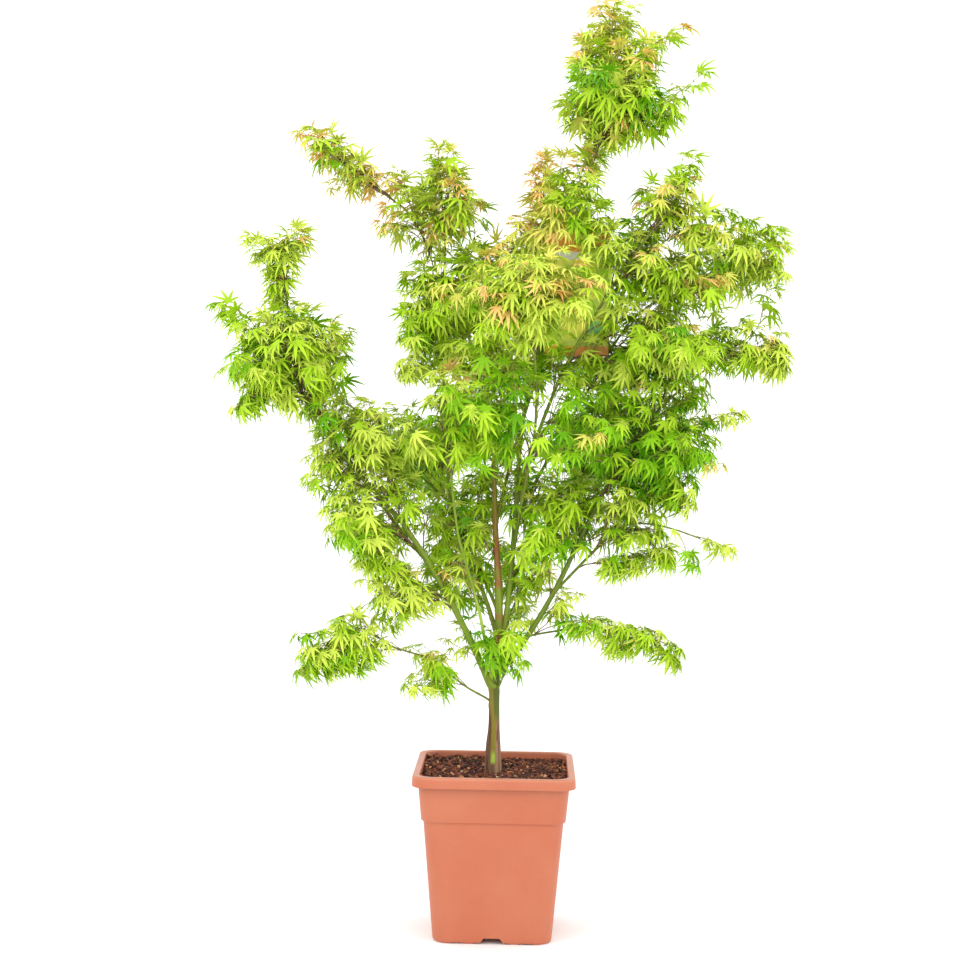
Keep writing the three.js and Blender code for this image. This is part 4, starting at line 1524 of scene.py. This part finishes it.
def shoot_targets(wood, limbs, s):
    """Where each shoot is to end, leaders first, then the nearest to the limbs, then the strays."""
    leaders = []
    for name, limb in limbs.items():
        rng = own_random(s.seed, name)
        tip = Vector(limb.points[-1])
        way = Vector(limb.points[-1] - limb.points[-8]).normalized()
        mass = nearest_mass(tip)
        room = min(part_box(mass)[1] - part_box(mass)[0]) / 2
        place = tip + way * min(LEADER_REACH, room) * rng.uniform(0.5, 0.9)
        leaders.append((-1, mass, middle_of(mass), place, youth_at(mass, place, 0.8, rng)))
    inner = []
    for mass in MASSES:
        rng = own_random(s.seed, mass)
        for place, depth in tip_places(mass, s, rng):
            gap = np.linalg.norm(wood.places - np.array(place), axis=1).min()
            inner.append((gap, mass, middle_of(mass), place, youth_at(mass, place, depth, rng)))
    inner += side_sprays(limbs, s)
    inner.sort(key=lambda row: row[0])
    strays = []
    for *numbers, count in STRAYS:
        rng = own_random(s.seed, numbers)
        for _ in range(count):
            place = Vector([m + d * rng.uniform(-1, 1) for m, d in zip(numbers, numbers[3:])])
            mass = nearest_mass(place)
            strays.append((1, mass, middle_of(mass), place, youth_at(mass, place, 0.8, rng)))
    return leaders + inner + strays


@functools.cache
def grown_shoots():
    """All shoots, grown one after another from the limbs and from each other."""
    s = bpy.context.scene.maple_shoots
    limbs = all_limbs()
    wood = Wood()
    for name, limb in limbs.items():
        points = limb.points[::4]
        radii = limb.radii[::4]
        if name == "trunk":
            high = points[:, 2] > SOIL_HIGH.z + LOWEST_SHOOT
            points, radii = points[high], radii[high]
        wood.add(points, -1, 0, radii)

    shoots = []
    for _, mass, centre, place, youth in shoot_targets(wood, limbs, s):
        rng = own_random(s.seed, *place)
        at = wood.carrier(np.array(place), s.shortest)
        start = Vector(wood.places[at])
        way = Vector(wood.ways[at])
        to = (place - start).normalized()
        outward = (place - centre).normalized()
        lift = clamped((place.z - 0.72) / 0.9, -0.35, 0.6) + rng.uniform(-0.15, 0.15)
        if mass == "leaves_front_drape":
            lift -= DROOP
        leave = (way * 0.45 + to * 0.75 + UP * 0.12).normalized()
        arrive = (to * 0.7 + outward * 0.35 + UP * lift * 0.6).normalized()
        points = bowed(start, leave, place, arrive, rng)
        number = int(wood.facts[at, 0])
        chain = int(wood.facts[at, 1]) + 1
        shoots.append(Shoot(points, number, chain, mass, youth))
        kept = points[2:] if len(points) > 5 else points[1:]
        wood.add(kept, len(shoots) - 1, chain, np.full(len(kept), s.tip))
    for shoot in reversed(shoots):
        if shoot.carrier >= 0:
            shoots[shoot.carrier].carried += shoot.carried
    return shoots


def chain_mesh(name, shoots, s):
    """The shoots as chains of edges, each vertex with its radius."""
    points, edges, thick = [], [], []
    for shoot in shoots:
        first = len(points)
        points += shoot.points
        edges += [(i, i + 1) for i in range(first, len(points) - 1)]
        base = min(s.tip * (1.15 + 0.62 * shoot.carried**0.5), THICKEST_SHOOT)
        count = len(shoot.points) - 1
        thick += [base + (s.tip - base) * (k / count) ** 0.8 for k in range(count + 1)]
    mesh = mesh_of(name, points, [], edges)
    store(mesh, "FLOAT", thick=thick)
    return mesh


class MAPLE_OT_shoots(bpy.types.Operator):
    """Grows the twigs and shoots that carry the leaves"""

    bl_idname = "maple.shoots"
    bl_label = "Shoots"

    def execute(self, context):
        s = context.scene.maple_shoots
        shoots = grown_shoots()
        kinds = (
            ("twigs", s.old, [x for x in shoots if x.carried > 1]),
            ("young_shoots", s.young, [x for x in shoots if x.carried == 1]),
        )
        for name, tint, some in kinds:
            piece = add_object(name, chain_mesh(name, some, s))
            material = Finish(name, tint, 0.55).material
            shoots_grower().apply(piece, Thickness=1.0, Sides=5, Material=material)
            piece.data.shade_smooth()
            finished(piece, material, "bough_bark")
        return {"FINISHED"}


# ---- leaves ----

LOBES = ((0, 1.0), (36, 0.95), (74, 0.76), (116, 0.42))  # angle from the middle lobe, and length
LOBE = (  # the points of a lobe a unit long: how far along it, how far aside of its rib, how much raised
    (0.48, -0.081, 0.03),
    (0.48, 0, 0),
    (0.48, 0.081, 0.03),
    (0.74, -0.044, 0.012),
    (0.74, 0, 0),
    (0.74, 0.044, 0.012),
    (1, 0, 0),
)
STALK = 0.5  # a stalk's length, as a share of the middle lobe's
LEAF_SHAPES = (  # how far the blade hangs from its stalk, how far its tips curl, how far its lobes spread
    (10, 0.3, 1.0),
    (24, 0.46, 0.98),
    (38, 0.52, 0.94),
    (54, 0.42, 0.9),
    (72, 0.3, 0.86),
)
PIECE_LEAVES = 3000  # the most leaves in one piece
SHOWN = {  # boughs that show through the crown, and the height up to which they do
    "trunk": 0.7,
    "bough_main": 0.82,
    "bough_left": 0.9,
    "bough_left_twin": 0.7,
    "bough_centre_left": 0.82,
    "bough_right": 0.9,
    "bough_right_low": 0.7,
    "bough_right_upper": 1.1,
    "bough_right_arm": 0.95,
    "stem_front_left": 0.75,
}
SHOWN_FROM = 0.465  # height under which nothing is kept clear
SHOWN_ROOM = 11 * MM  # to either side of a bough's middle line
SKIPPED = 0.07  # share of the leaves that have fallen
FLATNESS = 0.62  # how little the pairs of leaves turn out of the level


def leaf_shape(index, hang, curl, spread):
    """A blade with seven narrow lobes folded along their ribs. It is a unit long, on a stalk along +Y."""
    rng = random.Random(index)
    angles = []
    for side in (-1, 1):
        for angle, size in LOBES[1:]:
            angles.append((side * angle * spread * rng.uniform(0.94, 1.06), size * rng.uniform(0.92, 1.06)))
    angles.append((rng.uniform(-4, 4), 1.0))
    angles.sort()

    def spot(angle, far, aside, raised):
        """A point of the blade: far along a lobe, aside from its rib, bent down towards its tip."""
        turn = math.radians(angle)
        x = far * math.sin(turn) + aside * math.cos(turn)
        y = far * math.cos(turn) - aside * math.sin(turn)
        return (x, y, raised - curl * far * far)

    points = [(0, 0, 0)]
    faces = []
    notches = []
    for (a, size_a), (b, size_b) in zip(angles, angles[1:]):
        notches.append(len(points))
        points.append(spot((a + b) / 2, 0.27 * (size_a + size_b) / 2, 0, 0.035))
    for angle, far in ((angles[0][0] - 32, 0.08), (angles[-1][0] + 32, 0.08)):
        notches.append(len(points))
        points.append(spot(angle, far, 0, 0.02))
    for lobe, (angle, size) in enumerate(angles):
        left = notches[lobe - 1] if lobe > 0 else notches[-2]
        right = notches[lobe] if lobe < len(angles) - 1 else notches[-1]
        wide, rib, other, near, thin, beside, tip = range(len(points), len(points) + 7)
        for far, aside, raised in LOBE:
            points.append(spot(angle, far * size, aside * size, raised))
        faces += [
            (rib, wide, left, 0),
            (right, other, rib, 0),
            (thin, near, wide, rib),
            (other, beside, thin, rib),
            (tip, near, thin),
            (beside, tip, thin),
        ]
    turn = Matrix.Rotation(-math.radians(hang), 4, "X")
    end = stalk_line()[-1]
    placed = [turn @ Vector(p) + end for p in points]
    mesh = mesh_of(f"leaf_{index}", placed, faces)
    mesh.shade_smooth()
    return mesh


def stalk_line():
    return [Vector((0, 0, 0)), Vector((0, STALK * 0.45, 0.035)), Vector((0, STALK, 0.0))]


def stalk_shape():
    """A leaf's stalk: a thin three-sided rod with a slight arch."""
    line = stalk_line()
    points = []
    for k, middle in enumerate(line):
        for corner in range(3):
            angle = math.pi / 2 + corner * 2 * math.pi / 3
            radius = 0.019 - 0.003 * k
            points.append(middle + radius * Vector((math.cos(angle), 0, math.sin(angle))))
    faces = [(0, 1, 2), (8, 7, 6)] + [(a, d, c, b) for a, b, c, d in tube_faces(3, 3)]
    return mesh_of("stalk", points, faces)


# Where a leaf leaves its shoot, which way its stalk runs, which way it faces, its size, shape and tone.
Leaf = namedtuple("Leaf", "place way up size shape tone")


def bare_lines():
    """Points along the boughs that show through the crown."""
    limbs = all_limbs()
    rows = [limbs[name].points[limbs[name].points[:, 2] < top] for name, top in SHOWN.items()]
    return np.vstack(rows)


def veils(middle, lines):
    """True where a leaf would hang right in front of a bough that shows."""
    if middle.z < SHOWN_FROM:
        return False
    near = np.hypot(lines[:, 0] - middle.x, lines[:, 2] - middle.z) < SHOWN_ROOM
    return bool((near & (lines[:, 1] > middle.y)).any())


def way_out(place, centre):
    """The way out of a mass round centre, and out of the whole crown."""
    out = place - centre
    out.z *= 0.4
    middle = (CAD_LOW + CAD_HIGH) / 2
    out += 0.5 * (place - Vector((middle.x, middle.y, place.z)))
    return out.normalized() if out.length > 1e-5 else Vector((0, -1, 0))


def tone_of(youth, rng):
    return clamped(round(youth + rng.gauss(0, 0.28)), 0, len(TONES) - 1)


@functools.cache
def grown_leaves():
    """Opposite pairs of leaves along the outer part of every shoot, and young ones at its tip."""
    s = bpy.context.scene.maple_leaves
    leaves = []
    lines = bare_lines()
    for shoot in grown_shoots():
        points = shoot.points
        rng = own_random(*points[-1])
        gaps = [(b - a).length for a, b in zip(points, points[1:])]
        size = sum(gaps)
        centre = middle_of(shoot.mass)
        height = clamped((points[-1].z - 0.4) / 0.95)
        zone = min(s.zone, size * (0.82 if shoot.depth > 1 else 0.7))
        base = tone_of(shoot.youth, rng)
        growth = 0.9 + 0.14 * height - 0.05 * max(0, base - 2)
        far = 0.0
        joint = 0
        spin = rng.uniform(0, math.pi)
        while far <= zone:
            place, way = along_shoot(points, gaps, size - far)
            outward = way_out(place, centre)
            side = way.cross(UP)
            side = side.normalized() if side.length > 0.2 else outward.cross(way).normalized()
            other = side.cross(way).normalized()
            turn = spin + joint * math.pi / 2 + rng.gauss(0, 0.3)
            out = side * math.cos(turn) + other * math.sin(turn) * FLATNESS
            tip = joint == 0
            young = 1 if joint < 1 or (joint < 2 and base > 2) else 0
            for sign in (1, -1):
                if not tip and rng.random() < SKIPPED:
                    continue
                reach = 0.9 if tip else 0.5
                sag = 0.34 - 0.3 * height + rng.gauss(0, 0.1)
                stalk = (way * reach + out * sign * 0.85 + outward * 0.32 - UP * sag).normalized()
                up = UP + outward * 0.3 + shaken(rng, 0.3)
                grade = 2.1 - 1.5 * height + rng.gauss(0, 1.05) + (0.5 if tip else 0)
                shape = clamped(round(grade), 0, len(LEAF_SHAPES) - 1)
                grown = growth * rng.uniform(0.68, 1.14) * (0.72 if tip else 1)
                tone = min(len(TONES) - 1, base + young * (rng.random() < 0.4 and base != 3))
                if not veils(place + stalk * (grown * s.lobe * 0.95), lines):
                    leaves.append(Leaf(place, stalk, up.normalized(), grown, shape, tone))
            if tip:
                stalk = way + outward * 0.2 - UP * 0.2
                up = UP + shaken(rng, 0.2)
                leaves.append(Leaf(place, stalk.normalized(), up.normalized(), growth * 0.8, 1, base))
            far += s.spacing * rng.uniform(0.75, 1.25) * (0.8 if tip else 1)
            joint += 1
    return leaves


def along_shoot(points, gaps, far):
    """The place at a length along a shoot, and the way it runs there."""
    for a, b, gap in zip(points, points[1:], gaps):
        if far <= gap:
            return a.lerp(b, max(0, far) / gap), (b - a).normalized()
        far -= gap
    return points[-1].copy(), (points[-1] - points[-2]).normalized()


def point_mesh(name, leaves):
    """A vertex for each leaf, with what the copies need as attributes."""
    mesh = mesh_of(name, [leaf.place for leaf in leaves], [])
    ways = [tuple(leaf.way) for leaf in leaves]
    store(mesh, "FLOAT_VECTOR", way=ways, up=[tuple(leaf.up) for leaf in leaves])
    store(mesh, "FLOAT", size=[leaf.size for leaf in leaves])
    store(mesh, "INT", shape=[leaf.shape for leaf in leaves])
    return mesh


class MAPLE_OT_leaves(bpy.types.Operator):
    """Sets the leaves and their stalks on the shoots, a piece for each tone"""

    bl_idname = "maple.leaves"
    bl_label = "Leaves"

    def execute(self, context):
        s = context.scene.maple_leaves
        leaves = grown_leaves()
        pieces = []
        for index, tone in enumerate(TONES):
            some = [leaf for leaf in leaves if leaf.tone == index]
            material = Finish(f"leaf_{tone}", getattr(s, tone), 0.55, 0.2).material
            some.sort(key=lambda leaf: leaf.place.z)
            parts = max(1, math.ceil(len(some) / PIECE_LEAVES))
            for part in range(parts):
                chunk = some[part * len(some) // parts : (part + 1) * len(some) // parts]
                name = f"leaves_{tone}_{part + 1}"
                piece = add_object(name, point_mesh(name, chunk))
                shapes = [leaf_shape(k, *shape) for k, shape in enumerate(LEAF_SHAPES)]
                with shapes_of("leaf", shapes) as collection:
                    copies_grower().apply(piece, Shapes=collection, Size=s.lobe, Material=material)
                pieces.append((piece, material))
        for number, (piece, material) in enumerate(pieces):
            finished(piece, material, "leaves", *(MASSES if number == 0 else ()))

        alike = [leaf._replace(shape=0) for leaf in leaves]
        stalks = add_object("leaf_stalks", point_mesh("leaf_stalks", alike))
        material = Finish("leaf_stalk", s.stalk, 0.55).material
        with shapes_of("stalk", [stalk_shape()]) as collection:
            copies_grower().apply(stalks, Shapes=collection, Size=s.lobe, Material=material)
        finished(stalks, material, "leaves")
        return {"FINISHED"}


# ---- the hanging card ----


STRAP_HALF = 4.5 * MM  # half of the strap's width
CARD_THICK = 1 * MM
CARD_ROUNDING = 5 * MM
LOOP_STEPS = 28


def card_finish(s, top):
    """The plain print: a border above and below a field with a pale band and one darker patch."""
    finish = Finish("card_print", s.field, 0.4)
    x, _, z = finish.parts(finish.place())
    clouds = finish.cloud(finish.place(), 28, 2).between(0.46, 0.6)
    tint = finish.mix(clouds, s.field, s.bright)
    wide = CARD_HIGH.x - CARD_LOW.x
    low = CARD_LOW.z
    patch = x.between(CARD_LOW.x + 0.68 * wide, CARD_LOW.x + 0.7 * wide)
    patch = patch * z.band(low + 34 * MM, low + 35 * MM, low + 53 * MM, low + 54 * MM)
    tint = finish.mix(patch, tint, s.spot)
    under = top - s.header
    tint = finish.mix(z.between(under - 12 * MM, under - 11.5 * MM), tint, s.pale)
    tint = finish.mix(z.between(under, under + 0.5 * MM), tint, s.edge)
    tint = finish.mix(1 - z.between(low + s.footer, low + s.footer + 0.5 * MM), tint, s.edge)
    finish.feed("Base Color", tint)
    return finish.material


def card_outline(top):
    """The plate's outline with its rounded corners, as x and z."""
    left, right = (CARD_LOW.x + CARD_ROUNDING, CARD_HIGH.x - CARD_ROUNDING)
    low, high = (CARD_LOW.z + CARD_ROUNDING, top - CARD_ROUNDING)
    points = []
    for x, z, start in ((right, low, -90), (right, high, 0), (left, high, 90), (left, low, 180)):
        for step in range(7):
            angle = math.radians(start + 15 * step)
            points.append((x + CARD_ROUNDING * math.cos(angle), z + CARD_ROUNDING * math.sin(angle)))
    return points


def strap_loops(top):
    """Cross-sections of the strap, first those of its foot on the plate, then those of the loop."""
    bough = all_limbs()["bough_main"]
    middle = (CARD_LOW.x + CARD_HIGH.x) / 2
    near = int(np.abs(bough.points[:, 0] - middle).argmin())
    hold = Vector(bough.points[near])
    way = Vector(bough.ways[near])
    bore = float(bough.radii[near]) + 0.6 * MM
    side = way.cross(Vector((0, -1, 0))).normalized()
    out = side.cross(way).normalized()
    if out.y > 0:
        out = -out
    depth = CARD_LOW.y + CARD_THICK / 2
    line = [Vector((middle, depth, top - 6 * MM)), Vector((middle, depth, top + 4 * MM))]
    for step in range(LOOP_STEPS + 1):
        angle = 2 * math.pi * step / LOOP_STEPS
        line.append(hold + (out * math.cos(angle) + side * math.sin(angle)) * (bore + CARD_THICK / 2))
    loops = []
    for k, point in enumerate(line):
        wide = (Vector((1, 0, 0)) if k < 2 else way) * STRAP_HALF
        ahead = (line[min(k + 1, len(line) - 1)] - line[max(k - 1, 0)]).normalized()
        deep = ahead.cross(wide).normalized() * CARD_THICK / 2
        loops.append([point + wide + deep, point - wide + deep, point - wide - deep, point + wide - deep])
    return loops[:2], loops[2:]


class MAPLE_OT_card(bpy.types.Operator):
    """Builds the plain card that hangs from the main bough, with its strap and loop"""

    bl_idname = "maple.card"
    bl_label = "Hanging card"

    def execute(self, context):
        s = context.scene.maple_card
        top = CARD_LOW.z + s.tall
        plate = [
            [(x, CARD_LOW.y + depth, z) for x, z in card_outline(top)]
            for depth in (0, CARD_THICK)
        ]
        mesh = bpy.data.meshes.new("card")
        with edited(mesh) as card:
            for loops in (plate, *strap_loops(top)):
                add_tube(card, loops)
        piece = add_object("card", faced_outwards(mesh))
        finished(piece, card_finish(s, top), "card", "hang_card")
        return {"FINISHED"}


# ---- the stage: floor, lights and camera ----

CAMERA = Vector((0.0437, -2.7997, 0.766))
PITCH = math.radians(1.95)  # down
YAW = math.radians(1.33)  # to the left
ROLL = math.radians(0.84)
LENS = 69.18


def add_light(name, size, power, place, aim):
    lamp = bpy.data.lights.new(name, "AREA")
    lamp.shape = "DISK"
    lamp.size = size
    lamp.energy = power
    made = bpy.data.objects.new(name, lamp)
    made.location = place
    made.rotation_euler = (Vector(aim) - Vector(place)).to_track_quat("-Z", "Y").to_euler()
    bpy.context.scene.collection.objects.link(made)


class MAPLE_OT_stage(bpy.types.Operator):
    """Sets the pale floor, the soft light and the camera"""

    bl_idname = "maple.stage"
    bl_label = "Stage"

    def execute(self, context):
        s = context.scene.maple_stage
        scene = context.scene
        reach = 14
        corners = [(-reach, -reach, 0), (reach, -reach, 0), (reach, reach, 0), (-reach, reach, 0)]
        floor = add_object("floor", mesh_of("floor", corners, [(0, 1, 2, 3)]))
        finish = Finish("floor", s.floor, 0.9)
        floor.data.materials.append(finish.material)

        world = bpy.data.worlds.new("soft_light")
        world.use_nodes = True
        world.node_tree.nodes["Background"].inputs["Color"].default_value = (1, 1, 1, 1)
        world.node_tree.nodes["Background"].inputs["Strength"].default_value = s.sky
        scene.world = world
        add_light("key", 1.6, s.key, (-1.5, -2.2, 2.6), (0, 0, 0.8))
        add_light("fill", 1.6, s.fill, (2.2, -1.4, 1.4), (0, 0, 0.7))
        scene.view_settings.view_transform = "Standard"

        camera = bpy.data.objects.new("camera", bpy.data.cameras.new("camera"))
        scene.collection.objects.link(camera)
        level = Vector((math.cos(YAW), math.sin(YAW), 0))
        ahead = Vector((-math.sin(YAW) * math.cos(PITCH), math.cos(YAW) * math.cos(PITCH), -math.sin(PITCH)))
        steep = level.cross(ahead)
        right = math.cos(ROLL) * level + math.sin(ROLL) * steep
        top = math.cos(ROLL) * steep - math.sin(ROLL) * level
        turn = Matrix((right, top, -ahead)).transposed().to_4x4()
        camera.matrix_world = Matrix.Translation(CAMERA) @ turn
        camera.data.lens = LENS
        camera.data.sensor_width = 36
        scene.camera = camera
        return {"FINISHED"}


# ---- the add-on ----

SETTINGS = {
    "maple_pot": PotSettings,
    "maple_soil": SoilSettings,
    "maple_bark": BarkSettings,
    "maple_shoots": ShootSettings,
    "maple_leaves": LeafSettings,
    "maple_card": CardSettings,
    "maple_stage": StageSettings,
}
OPERATORS = (
    MAPLE_OT_stage,
    MAPLE_OT_pot,
    MAPLE_OT_soil,
    MAPLE_OT_bark,
    MAPLE_OT_shoots,
    MAPLE_OT_leaves,
    MAPLE_OT_card,
)


class MAPLE_PT_panel(bpy.types.Panel):
    """Lists the maple's pieces"""

    bl_label = "Potted maple"
    bl_idname = "MAPLE_PT_panel"
    bl_space_type = "VIEW_3D"
    bl_region_type = "UI"
    bl_category = "Maple"

    def draw(self, context):
        for operator in OPERATORS:
            self.layout.operator(operator.bl_idname)


def register():
    for kind in (*SETTINGS.values(), *OPERATORS, MAPLE_PT_panel):
        bpy.utils.register_class(kind)
    for name, kind in SETTINGS.items():
        setattr(bpy.types.Scene, name, PointerProperty(type=kind))


def unregister():
    for name in SETTINGS:
        delattr(bpy.types.Scene, name)
    for kind in (MAPLE_PT_panel, *OPERATORS[::-1], *list(SETTINGS.values())[::-1]):
        bpy.utils.unregister_class(kind)


def main():
    register()
    bpy.ops.maple.stage()
    bpy.ops.maple.pot()
    bpy.ops.maple.soil()
    bpy.ops.maple.bark()
    bpy.ops.maple.shoots()
    bpy.ops.maple.leaves()
    bpy.ops.maple.card()


if __name__ == "__main__":
    main()
